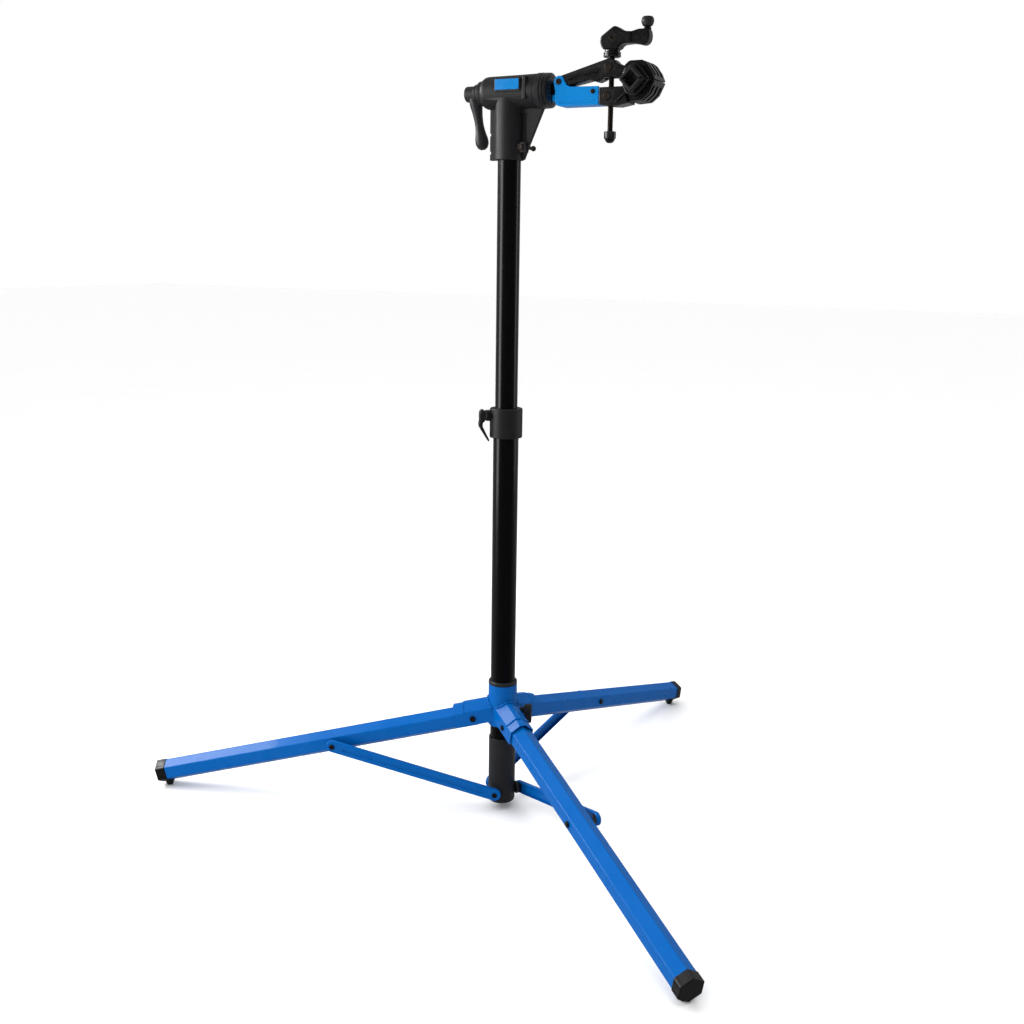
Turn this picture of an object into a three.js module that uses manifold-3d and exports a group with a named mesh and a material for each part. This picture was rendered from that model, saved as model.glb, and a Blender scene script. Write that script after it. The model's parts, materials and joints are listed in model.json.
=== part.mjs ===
// Folding repair stand for bicycles: a tripod on a telescoping mast, with a swivelling head that
// carries a crank-driven tube clamp.
// Millimetres, +Z up. The origin is on the mast's axis at the underside of its boot; +X runs along
// the head's barrel towards the clamp, and a clamped tube lies along Y.
// In each leg's own frame +X points outward along the ground and +Y is the side of its strut.

import * as THREE from 'three';
import { mergeVertices } from 'three/addons/utils/BufferGeometryUtils.js';
import Module from 'manifold-3d';

const wasm = await Module();
wasm.setup();

// ---------------------------------------------------------------- driving dimensions
const CLEARANCE = 0.3; // between faces that touch or run on each other
const FLOOR_GAP = 12.5; // boot underside above the floor

// mast
const MAST_R = 22.5; // lower tube, outside
const MAST_WALL = 1.35;
const MAST_TOP = 742;
const INNER_R = 19.7; // upper tube, outside
const INNER_WALL = 2;
const INNER_INSERT = 230; // length of the upper tube inside the lower one
const INNER_IN_HEAD = 70; // length of the upper tube inside the head
const GUIDE_BUSH_LENGTH = 45;
const PLUG_FLANGE = 14; // thickness of the plug's wide end
const PLUG_SPIGOT = 22; // length of the plug inside the upper tube
const PLUG_BORE_R = 10;

// boot
const BOOT_WALL = 2.4; // beyond the lower tube
const BOOT_R = MAST_R + BOOT_WALL;
const BOOT_HEIGHT = 128.5;
const BOOT_FLOOR = 6;
const BOOT_CHAMFER = 2.5;

// height collar
const COLLAR_R = MAST_R + 6.5;
const COLLAR_LIP = 4.5; // top lip that closes over the lower tube
const COLLAR_TOP = MAST_TOP + COLLAR_LIP;
const COLLAR_HEIGHT = 52;
const COLLAR_EAR_AZIMUTH = 218;
const COLLAR_EAR_REACH = 9; // beyond the collar
const EAR_HALF = 9;
const COLLAR_SLIT = 3;
const SKEWER_R = 3;
const SKEWER_HEAD_R = 4.5;
const SKEWER_DROP = 13; // skewer below the collar's top

// tripod hub
const HUB_R = MAST_R + 4;
const HUB_WALL = 2.2;
const HUB_BOTTOM = 154;
const HUB_TOP = 233;
const BUSH_FLANGE = 7;
const LOCK_AZIMUTH = 21.5;
const LOCK_Z = 181;
const LOCK_SCREW_R = 4;
const LOCK_BOSS_R = 8;
const LOCK_KNOB_R = 12;
const LOCK_KNOB_TAIL = 25;
const LOCK_KNOB_START = HUB_R + 15;
const LOCK_KNOB_THICK = 13;
const LOCK_SCREW_IN_KNOB = 8;

// legs
const LEG_AZIMUTHS = { front: -38.5, right: 81.5, left: 201.5 };
const LEG_SIDE = 21.8; // side of the hexagonal tube
const LEG_WALL = 1.8;
const LEG_LENGTH = 636; // from its pivot to its outer end
const LEG_PIVOT_R = HUB_R + LEG_SIDE + 4.7;
const LEG_PIVOT_Z = 167;
const FOOT_AXIS_HEIGHT = 30.6; // leg's axis above the floor, over its nub
const HOOD_WALL = 2.5;
const HOOD_SIDE = LEG_SIDE + 0.9 + HOOD_WALL; // hub's leg bracket, outside
const HOOD_LENGTH = 35; // beyond the pivot
const HOOD_BAND = 12; // thicker band at its mouth
const BOLT_R = 4;
const BOLT_HEAD_R = 6.5;
const BOLT_HEAD = 3.5; // height of a bolt's head

// struts
const STRUT_BOLT_AT = 273; // from the leg's pivot, along the leg
const STRUT_PIVOT_R = 9;
const STRUT_PIVOT_Z = 23;
const STRUT_WIDTH = 23;
const STRUT_DEPTH = 8;
const STRUT_WALL = 2;
const STRUT_INNER_Y = BOOT_R + 4.4;
const SPACER_R = 8;
const RIVET_HEAD_R = 7;

// foot caps
const CAP_LENGTH = 20;
const CAP_WALL = 1.1;
const CAP_END = 3;
const NUB_TOP_R = 10;
const NUB_BOTTOM_R = 4.5;

// head
const HEAD_SLEEVE_BOTTOM = 1166.5;
const BARREL_Z = HEAD_SLEEVE_BOTTOM + 109;
const BARREL_R = 28.5;
const BARREL_TAPER = 2; // narrower at its left end
const BARREL_LEFT = -47;
const BARREL_RIGHT = 66.5;
const SHAFT_R = 17;
const SHAFT_WALL = 4;
const SLEEVE_R = INNER_R + 5.3;
const RIB_REACH = 36; // left rib, from the mast's axis
const RIB_THICK = 8;
const GUSSET_THICK = 7;
const SLIT_AZIMUTH = -5;
const SLIT = 3;
const PINCH_Z = HEAD_SLEEVE_BOTTOM + 20.5;
const PINCH_R = 3;
const PINCH_EAR = 9; // reach and half-height of the pinch ears
const PINCH_EAR_HALF = 8; // half the thickness of both ears
const PINCH_NUT = 5.7;
const PINCH_SHANK = 27; // free end of the screw, from the ears' middle
const BADGE_LEFT = -13;
const BADGE_RIGHT = 31;
const BADGE_BOTTOM = BARREL_Z + 1.5;
const BADGE_TOP = BARREL_Z + 18;
const BADGE_THICK = 1.1;
const BADGE_PAD = 0.6; // flat pad's reach beyond the barrel

// clamp, placed from the barrel's right end and its axis
const FLANGE_R = BARREL_R - 0.5;
const FLANGE_LENGTH = 14;
const ARM_HALF = 16; // half-width across the arm's side plates
const ARM_PLATE = 3;
const ARM_START = BARREL_RIGHT + 16;
const ARM_END = ARM_START + 85.5;
const ARM_BOTTOM = BARREL_Z - 27;
const ARM_TOP = BARREL_Z + 1.5;
const JAW_PIVOT = [ARM_START + 14.5, BARREL_Z + 11];
const JAW_PIVOT_R = 9.5;
const JAW_BOLT = [ARM_END - 10, ARM_TOP - 8];
const JAW_BOLT_R = 3;
const SPINDLE_X = ARM_END + 15;
const SPINDLE_R = 4.5;
const TRUNNION_R = SPINDLE_R + 2.5;
const TRUNNION_UP_Z = BARREL_Z + 30;
const TRUNNION_LOW_Z = BARREL_Z - 14.5;
const JAW_X = SPINDLE_X + 48;
const JAW_Z = BARREL_Z + 7.5;
const JAW_HALF_LENGTH = 38;
const PAD_OUTER = 21; // half-diagonal of the pads' diamond
const PAD_INNER = 13;
const PAD_LINER = 3.2; // pad's wall inside the jaws
const PAD_FRONT = 13; // length of pad that stands out of the jaws in front
const JAW_GAP = 1;
const WASHER_R = SPINDLE_R + 9.5;
const WASHER_BOTTOM = TRUNNION_UP_Z + 15.5;
const CRANK_BOTTOM = WASHER_BOTTOM + 10.7;
const CRANK_REACH = 58.5;
const CRANK_HALF = 10;
const CRANK_SOCKET = 14; // depth of the spindle in the crank
const CRANK_SCREW_R = 5;
const KNOB_Z = CRANK_BOTTOM + 40;
const KNOB_R = 10;
const KNOB_STEM_R = 4;
const SPINDLE_BOTTOM = BARREL_Z - 73.5;
const END_CAP_R = SPINDLE_R + 5.2;

// lock lever
const LEVER_HUB_R = 13;
const LEVER_HUB_LEFT = BARREL_LEFT - 36;
const LEVER_HUB_RIGHT = BARREL_LEFT - 18;
const LEVER_DROP = 91; // grip's lower end below the barrel's axis
const LEVER_LEAN = 11; // degrees
const LOCK_SPACER_R = 20;
const LOCK_WASHER_R = 15.5;
const LOCK_STUD_R = 6;

// ---------------------------------------------------------------- materials
const finish = (color, roughness, metalness = 0) =>
  new THREE.MeshStandardMaterial({ color, roughness, metalness });
const BLUE_ENAMEL = finish(0x0060c8, 0.35);
const CAST_BLUE = finish(0x0884d8, 0.4);
const BLACK_ENAMEL = finish(0x121214, 0.3);
const MOULDED = finish(0x2a2a2c, 0.6);
const CAST_BLACK = finish(0x17171a, 0.5);
const RUBBER = finish(0x1e1e1e, 0.85);
const BLACK_STEEL = finish(0x1c1a19, 0.4, 0.8);

// ---------------------------------------------------------------- geometry helpers
const radians = THREE.MathUtils.degToRad;
const stand = new THREE.Group();

/** A closed geometry as a solid that booleans can use. */
function solid(geometry) {
  const bare = new THREE.BufferGeometry();
  const source = geometry.index ? geometry : geometry.clone();
  bare.setAttribute('position', source.attributes.position.clone());
  if (source.index) bare.setIndex(source.index.clone());
  const merged = mergeVertices(bare, 1e-4);
  return new wasm.Manifold(new wasm.Mesh({
    numProp: 3,
    vertProperties: Float32Array.from(merged.attributes.position.array),
    triVerts: Uint32Array.from(merged.index.array),
  }));
}

/** A solid as a geometry again. */
function geometryOf(body) {
  const { vertProperties, triVerts } = body.getMesh();
  const geometry = new THREE.BufferGeometry();
  geometry.setAttribute('position', new THREE.BufferAttribute(vertProperties, 3));
  geometry.setIndex(new THREE.BufferAttribute(triVerts, 1));
  geometry.computeVertexNormals();
  return geometry;
}

const join = (...bodies) => bodies.reduce((whole, body) => whole.add(body));
const cut = (whole, ...tools) => tools.reduce((rest, tool) => rest.subtract(tool), whole);

/** A round bar between two points; its radius may taper from r to rEnd. */
function bar(r, from, to, { rEnd = r, segments = 20 } = {}) {
  const start = new THREE.Vector3(...from);
  const along = new THREE.Vector3(...to).sub(start);
  const geometry = new THREE.CylinderGeometry(rEnd, r, along.length(), segments);
  geometry.translate(0, along.length() / 2, 0);
  const turn = new THREE.Quaternion();
  turn.setFromUnitVectors(new THREE.Vector3(0, 1, 0), along.clone().normalize());
  geometry.applyQuaternion(turn);
  geometry.translate(start.x, start.y, start.z);
  return solid(geometry);
}

/** A bar on the mast's axis. */
const post = (r, bottom, top, segments = 32) => bar(r, [0, 0, bottom], [0, 0, top], { segments });

/** A ring on the mast's axis. */
const ring = (outer, inner, bottom, top) =>
  cut(post(outer, bottom, top), post(inner, bottom - 1, top + 1));

/** A block from its lowest corner to its highest. */
function block(low, high) {
  const size = high.map((value, i) => value - low[i]);
  const geometry = new THREE.BoxGeometry(...size);
  geometry.translate(...low.map((value, i) => value + size[i] / 2));
  return solid(geometry);
}

/** A turned shape from [radius, height] pairs, on an upright axis through [x, y]. */
function turned(profile, { x = 0, y = 0, segments = 24 } = {}) {
  const geometry = new THREE.LatheGeometry(profile.map((p) => new THREE.Vector2(...p)), segments);
  geometry.rotateX(Math.PI / 2);
  geometry.translate(x, y, 0);
  return solid(geometry);
}

/** An outline of [x, z] points as a THREE.Shape. */
const outline = (points) => new THREE.Shape(points.map((p) => new THREE.Vector2(...p)));

/** A shape drawn in X and Z, thick from y0 to y1. */
function plate(shape, y0, y1, curveSegments = 10) {
  const geometry = new THREE.ExtrudeGeometry(shape, {
    depth: y1 - y0, bevelEnabled: false, curveSegments, steps: 1,
  });
  geometry.rotateX(Math.PI / 2);
  geometry.translate(0, y1, 0);
  return solid(geometry);
}

/** A shape drawn in Y and Z, long from x0 to x1. */
function rail(shape, x0, x1) {
  const geometry = new THREE.ExtrudeGeometry(shape, {
    depth: x1 - x0, bevelEnabled: false, steps: 1,
  });
  geometry.applyMatrix4(new THREE.Matrix4().set(
    0, 0, 1, x0,
    1, 0, 0, 0,
    0, 1, 0, 0,
    0, 0, 0, 1,
  ));
  return solid(geometry);
}

/** Corners of a hexagon with a corner on top. */
const hexagon = (side) => Array.from({ length: 6 }, (_, i) => {
  const angle = Math.PI / 2 + (i * Math.PI) / 3;
  return [side * Math.cos(angle), side * Math.sin(angle)];
});

/** Adds one named piece to a group. */
function piece(name, body, material, group = stand) {
  const mesh = new THREE.Mesh(geometryOf(body), material);
  mesh.name = name;
  group.add(mesh);
}

/** A group turned about the mast's axis. */
function turnedGroup(azimuth) {
  const group = new THREE.Group();
  group.rotation.z = radians(azimuth);
  stand.add(group);
  return group;
}

/** The same turn for a solid. */
const aroundMast = (body, azimuth) => body.rotate([0, 0, azimuth]);

// ---------------------------------------------------------------- mast and boot
const mastInnerR = MAST_R - MAST_WALL;
const innerBottom = MAST_TOP - INNER_INSERT;
const innerTop = HEAD_SLEEVE_BOTTOM + INNER_IN_HEAD;
const lugFace = STRUT_INNER_Y - CLEARANCE;

function makeMast() {
  const tubeBottom = BOOT_FLOOR + CLEARANCE;
  piece('lower_mast_tube', ring(MAST_R, mastInnerR, tubeBottom, MAST_TOP), BLACK_ENAMEL);
  piece('mast_guide_bush', ring(mastInnerR - CLEARANCE, INNER_R + CLEARANCE,
    MAST_TOP - GUIDE_BUSH_LENGTH, MAST_TOP), MOULDED);
  piece('upper_mast_tube', ring(INNER_R, INNER_R - INNER_WALL, innerBottom, innerTop), BLACK_ENAMEL);
  const plug = join(
    post(mastInnerR - CLEARANCE, innerBottom - PLUG_FLANGE, innerBottom - CLEARANCE),
    post(INNER_R - INNER_WALL - CLEARANCE, innerBottom - PLUG_FLANGE, innerBottom + PLUG_SPIGOT),
  );
  const bore = post(PLUG_BORE_R, innerBottom - PLUG_FLANGE - 1, innerBottom + PLUG_SPIGOT + 1);
  piece('upper_tube_plug', cut(plug, bore), MOULDED);
}

function makeBoot() {
  let boot = join(
    post(BOOT_R, BOOT_CHAMFER, BOOT_HEIGHT),
    bar(BOOT_R - BOOT_CHAMFER, [0, 0, 0], [0, 0, BOOT_CHAMFER + 0.1], { rEnd: BOOT_R, segments: 32 }),
  );
  for (const azimuth of Object.values(LEG_AZIMUTHS)) {
    const lug = bar(STRUT_WIDTH / 2, [STRUT_PIVOT_R, MAST_R / 3, STRUT_PIVOT_Z],
      [STRUT_PIVOT_R, lugFace, STRUT_PIVOT_Z]);
    boot = join(boot, aroundMast(lug, azimuth));
  }
  boot = cut(boot, post(MAST_R + CLEARANCE, BOOT_FLOOR, BOOT_HEIGHT + 1));
  for (const azimuth of Object.values(LEG_AZIMUTHS)) {
    const hole = bar(BOLT_R + CLEARANCE, [STRUT_PIVOT_R, MAST_R + 0.6, STRUT_PIVOT_Z],
      [STRUT_PIVOT_R, lugFace + 5, STRUT_PIVOT_Z]);
    boot = cut(boot, aroundMast(hole, azimuth));
  }
  piece('mast_boot', boot, MOULDED);
}

// ---------------------------------------------------------------- height collar
const earReach = COLLAR_R + COLLAR_EAR_REACH;
const skewerX = earReach - 5;
const skewerZ = COLLAR_TOP - SKEWER_DROP;

function makeCollar() {
  const bottom = COLLAR_TOP - COLLAR_HEIGHT;
  const half = EAR_HALF;
  const ears = block([COLLAR_R - 8, -half, skewerZ - half], [earReach, half, skewerZ + half]);
  const slit = block([0, -COLLAR_SLIT / 2, bottom - 1], [earReach + 1, COLLAR_SLIT / 2, COLLAR_TOP + 1]);
  const hole = bar(SKEWER_R + CLEARANCE, [skewerX, -half * 2, skewerZ], [skewerX, half * 2, skewerZ],
    { segments: 12 });
  const collar = cut(
    join(post(COLLAR_R, bottom, COLLAR_TOP), aroundMast(ears, COLLAR_EAR_AZIMUTH)),
    post(MAST_R + CLEARANCE, bottom - 1, MAST_TOP + CLEARANCE),
    post(INNER_R + CLEARANCE, MAST_TOP, COLLAR_TOP + 1),
    aroundMast(slit, COLLAR_EAR_AZIMUTH),
    aroundMast(hole, COLLAR_EAR_AZIMUTH));
  piece('height_collar', collar, MOULDED);

  const group = turnedGroup(COLLAR_EAR_AZIMUTH);
  const across = (r, from, to) =>
    bar(r, [skewerX, from, skewerZ], [skewerX, to, skewerZ], { segments: 12 });
  piece('collar_skewer', join(
    across(SKEWER_R, -half - 3, half + 5),
    across(SKEWER_HEAD_R, -half - 4.5, -half - CLEARANCE),
    across(SKEWER_HEAD_R, half + CLEARANCE, half + 4.2),
  ), BLACK_STEEL, group);

  const at = (dx, dz) => [earReach + CLEARANCE + dx, skewerZ + dz];
  const lever = plate(outline([
    at(0, 8), at(4, 11), at(8, 9.5), at(10, 4), at(9.5, -6), at(11, -16), at(10, -20),
    at(-6, -46), at(-8, -43.5), at(-3, -34), at(4, -19), at(4, -12), at(0, -9),
  ]), -half + 1, half - 1);
  piece('height_lever', lever, MOULDED, group);
}

// ---------------------------------------------------------------- tripod hub
const capStart = LEG_LENGTH - CAP_LENGTH + CAP_END; // along the leg, where its cap begins
const legAngle = Math.asin((LEG_PIVOT_Z + FLOOR_GAP - FOOT_AXIS_HEIGHT) / capStart);

/** Moves a solid from a leg's rest frame (origin at its pivot) to the ground frame. */
const fromLeg = (body) =>
  body.rotate([0, THREE.MathUtils.radToDeg(legAngle), 0]).translate([LEG_PIVOT_R, 0, LEG_PIVOT_Z]);

/** A hexagon's upper half with straight sides, as a channel that opens downward. */
function hoodShape(side, wall) {
  const inner = side - wall;
  const half = (value) => (value * Math.sqrt(3)) / 2;
  return outline([
    [0, side], [-half(side), side / 2], [-half(side), -side / 2], [-half(inner), -side / 2],
    [-half(inner), inner / 2], [0, inner], [half(inner), inner / 2], [half(inner), -side / 2],
    [half(side), -side / 2], [half(side), side / 2],
  ]);
}

const hoodFace = (HOOD_SIDE * Math.sqrt(3)) / 2;
const bandExtra = 0.8; // band's thickness beyond the bracket

function makeHub() {
  const sleeveInner = HUB_R - HUB_WALL;
  const lockHole = aroundMast(bar(LOCK_SCREW_R + CLEARANCE, [0, 0, LOCK_Z],
    [HUB_R + LOCK_BOSS_R + 2, 0, LOCK_Z], { segments: 12 }), LOCK_AZIMUTH);
  const boss = bar(LOCK_BOSS_R, [HUB_R - 3, 0, LOCK_Z], [HUB_R + 6, 0, LOCK_Z]);
  let hub = join(post(HUB_R, HUB_BOTTOM, HUB_TOP), aroundMast(boss, LOCK_AZIMUTH));
  for (const azimuth of Object.values(LEG_AZIMUTHS)) {
    const hood = join(
      rail(hoodShape(HOOD_SIDE, HOOD_WALL), HUB_R / 2 - LEG_PIVOT_R, HOOD_LENGTH),
      rail(hoodShape(HOOD_SIDE + bandExtra, HOOD_WALL + bandExtra),
        HOOD_LENGTH - HOOD_BAND, HOOD_LENGTH),
    );
    hub = join(hub, aroundMast(fromLeg(hood), azimuth));
  }
  hub = cut(hub, post(sleeveInner, HUB_BOTTOM - 30, HUB_TOP + 30), lockHole);
  for (const azimuth of Object.values(LEG_AZIMUTHS)) {
    const hole = bar(BOLT_R + CLEARANCE, [0, -HOOD_SIDE * 2, 0], [0, HOOD_SIDE * 2, 0],
      { segments: 12 });
    hub = cut(hub, aroundMast(fromLeg(hole), azimuth));
  }
  piece('hub_bracket', hub, BLUE_ENAMEL);

  const bushOuter = sleeveInner - CLEARANCE;
  const bushInner = MAST_R + CLEARANCE;
  const bushJoint = LOCK_Z + 12;
  const flange = ring(HUB_R, bushInner, HUB_TOP + CLEARANCE, HUB_TOP + BUSH_FLANGE);
  piece('hub_upper_bush',
    join(ring(bushOuter, bushInner, bushJoint, HUB_TOP + BUSH_FLANGE - 1), flange), MOULDED);
  piece('hub_lower_bush',
    cut(ring(bushOuter, bushInner, HUB_BOTTOM, bushJoint - CLEARANCE), lockHole), MOULDED);

  const lock = turnedGroup(LOCK_AZIMUTH);
  const screwEnd = LOCK_KNOB_START + LOCK_SCREW_IN_KNOB;
  piece('hub_lock_screw', bar(LOCK_SCREW_R, [MAST_R + CLEARANCE, 0, LOCK_Z],
    [screwEnd, 0, LOCK_Z], { segments: 12 }), BLACK_STEEL, lock);
  const knobShape = new THREE.Shape();
  const tail = LOCK_Z - LOCK_KNOB_TAIL;
  knobShape.absarc(0, LOCK_Z, LOCK_KNOB_R, radians(-30), radians(210), false);
  knobShape.lineTo(-5, tail + 1.5);
  knobShape.lineTo(-3, tail);
  knobShape.lineTo(3, tail);
  knobShape.lineTo(5, tail + 1.5);
  const knob = rail(knobShape, LOCK_KNOB_START, LOCK_KNOB_START + LOCK_KNOB_THICK);
  piece('hub_lock_knob', cut(knob, bar(LOCK_SCREW_R + CLEARANCE, [LOCK_KNOB_START - 1, 0, LOCK_Z],
    [screwEnd + CLEARANCE, 0, LOCK_Z], { segments: 12 })), MOULDED, lock);
}

// ---------------------------------------------------------------- legs, feet and struts
const strutBoltR = LEG_PIVOT_R + STRUT_BOLT_AT * Math.cos(legAngle);
const strutBoltZ = LEG_PIVOT_Z - STRUT_BOLT_AT * Math.sin(legAngle);
const legFace = (LEG_SIDE * Math.sqrt(3)) / 2;
const strutOuterY = STRUT_INNER_Y + STRUT_DEPTH;

/** Leg tube in the leg's frame: +X along it, its inner end turned about the pivot to clear the hub. */
function legTube() {
  const wide = LEG_SIDE * 1.5;
  const hollow = rail(outline(hexagon(LEG_SIDE - LEG_WALL)), -wide, LEG_LENGTH + 5);
  const tube = rail(outline(hexagon(LEG_SIDE)), -LEG_SIDE, LEG_LENGTH);
  const [side, half] = [legFace + 1, LEG_SIDE / 2 - 0.6];
  const nose = new THREE.LatheGeometry(
    [[0, -side], [half, -side], [LEG_SIDE, 0], [half, side], [0, side]].map(
      (p) => new THREE.Vector2(...p)), 24);
  const rounded = join(solid(nose), block([0, -wide, -wide], [LEG_LENGTH + 10, wide, wide]));
  const hole = (x) => bar(BOLT_R + CLEARANCE, [x, -wide, 0], [x, wide, 0], { segments: 12 });
  return cut(tube.intersect(rounded), hollow, hole(0), hole(STRUT_BOLT_AT));
}

/** Foot cap in the leg's frame: a six-sided cup with a nub that stands on the floor. */
function footCap() {
  const side = LEG_SIDE + CLEARANCE + CAP_WALL;
  const cup = rail(outline(hexagon(side)), capStart, LEG_LENGTH + CAP_END);
  const floor = -FLOOR_GAP - LEG_PIVOT_Z;
  const nubX = capStart * Math.cos(legAngle);
  const axisZ = -capStart * Math.sin(legAngle);
  const nub = turned([
    [0, floor], [NUB_BOTTOM_R, floor], [NUB_BOTTOM_R + 2, floor + 1.5],
    [NUB_TOP_R, axisZ - LEG_SIDE + 3], [NUB_TOP_R, axisZ - LEG_SIDE / 2], [0, axisZ - LEG_SIDE / 2],
  ], { x: nubX }).rotate([0, -THREE.MathUtils.radToDeg(legAngle), 0]);
  const room = rail(outline(hexagon(LEG_SIDE + CLEARANCE)),
    capStart - NUB_TOP_R * 4, LEG_LENGTH + CLEARANCE);
  return cut(join(cup, nub), room);
}

/** Pivot bolt across a leg's bracket, with a head on each side. */
function pivotBolt() {
  const head = hoodFace + CLEARANCE;
  return join(
    bar(BOLT_R, [0, -head - 3, 0], [0, head + 3, 0], { segments: 12 }),
    bar(BOLT_HEAD_R, [0, -head - BOLT_HEAD, 0], [0, -head, 0], { segments: 12 }),
    bar(BOLT_HEAD_R, [0, head, 0], [0, head + BOLT_HEAD, 0], { segments: 6 }),
  );
}

/** Bolt through the leg with the spacer that stands off its strut. */
function strutBolt() {
  const x = STRUT_BOLT_AT;
  return join(
    bar(BOLT_HEAD_R - 1, [x, -legFace - 4, 0], [x, -legFace - CLEARANCE, 0], { segments: 12 }),
    bar(BOLT_R, [x, -legFace - 2, 0], [x, legFace + 2, 0], { segments: 12 }),
    bar(SPACER_R, [x, legFace + CLEARANCE, 0], [x, STRUT_INNER_Y - CLEARANCE, 0], { segments: 12 }),
  );
}

/** Strut in its own frame: a shallow channel from its boot pivot (origin) along +X. */
function strutChannel(length) {
  const half = STRUT_WIDTH / 2;
  const path = (radius) => {
    const shape = new THREE.Shape();
    shape.absarc(0, 0, radius, Math.PI / 2, (3 * Math.PI) / 2, false);
    shape.absarc(length, 0, radius, -Math.PI / 2, Math.PI / 2, false);
    return shape;
  };
  const hole = (x) => bar(BOLT_R + CLEARANCE, [x, 0, 0], [x, strutOuterY * 2, 0], { segments: 12 });
  return cut(
    plate(path(half), STRUT_INNER_Y, strutOuterY, 6),
    plate(path(half - STRUT_WALL), STRUT_INNER_Y - 1, strutOuterY - STRUT_WALL, 6),
    hole(0), hole(length));
}

/** The strut's end rivet at the leg; it stops short of the leg's bolt. */
function strutRivet(length) {
  const web = strutOuterY - STRUT_WALL;
  return join(
    bar(BOLT_R, [length, web - 4, 0], [length, strutOuterY + 2, 0], { segments: 12 }),
    bar(RIVET_HEAD_R, [length, web - 4.5, 0], [length, web - CLEARANCE, 0], { segments: 12 }),
    bar(RIVET_HEAD_R, [length, strutOuterY + CLEARANCE, 0], [length, strutOuterY + 4.5, 0],
      { segments: 6 }),
  );
}

function makeLegs() {
  const run = strutBoltR - STRUT_PIVOT_R;
  const rise = strutBoltZ - STRUT_PIVOT_Z;
  const strutLength = Math.hypot(run, rise);
  for (const [side, azimuth] of Object.entries(LEG_AZIMUTHS)) {
    const ground = turnedGroup(azimuth);
    const leg = new THREE.Group();
    leg.position.set(LEG_PIVOT_R, 0, LEG_PIVOT_Z);
    leg.rotation.y = legAngle;
    ground.add(leg);
    piece(`${side}_leg`, legTube(), BLUE_ENAMEL, leg);
    piece(`${side}_foot_cap`, footCap(), RUBBER, leg);
    piece(`${side}_leg_pivot_bolt`, pivotBolt(), BLACK_STEEL, leg);
    piece(`${side}_leg_strut_bolt`, strutBolt(), BLACK_STEEL, leg);

    const strut = new THREE.Group();
    strut.position.set(STRUT_PIVOT_R, 0, STRUT_PIVOT_Z);
    strut.rotation.y = -Math.atan2(rise, run);
    ground.add(strut);
    piece(`${side}_strut`, strutChannel(strutLength), BLUE_ENAMEL, strut);
    piece(`${side}_strut_rivet`, strutRivet(strutLength), BLACK_STEEL, strut);

    const bolt = join(
      bar(BOLT_R, [STRUT_PIVOT_R, MAST_R + 1.2, STRUT_PIVOT_Z],
        [STRUT_PIVOT_R, strutOuterY + 2, STRUT_PIVOT_Z], { segments: 12 }),
      bar(BOLT_HEAD_R, [STRUT_PIVOT_R, strutOuterY + CLEARANCE, STRUT_PIVOT_Z],
        [STRUT_PIVOT_R, strutOuterY + 3, STRUT_PIVOT_Z], { segments: 12 }),
    );
    piece(`${side}_boot_bolt`, bolt, BLACK_STEEL, ground);
  }
}

// ---------------------------------------------------------------- head
const shaftBore = SHAFT_R + CLEARANCE;
const pinchX = SLEEVE_R + 4;

/** A bar on the barrel's axis. */
const axial = (r, from, to, { rEnd = r, segments = 32 } = {}) =>
  bar(r, [from, 0, BARREL_Z], [to, 0, BARREL_Z], { rEnd, segments });

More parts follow.
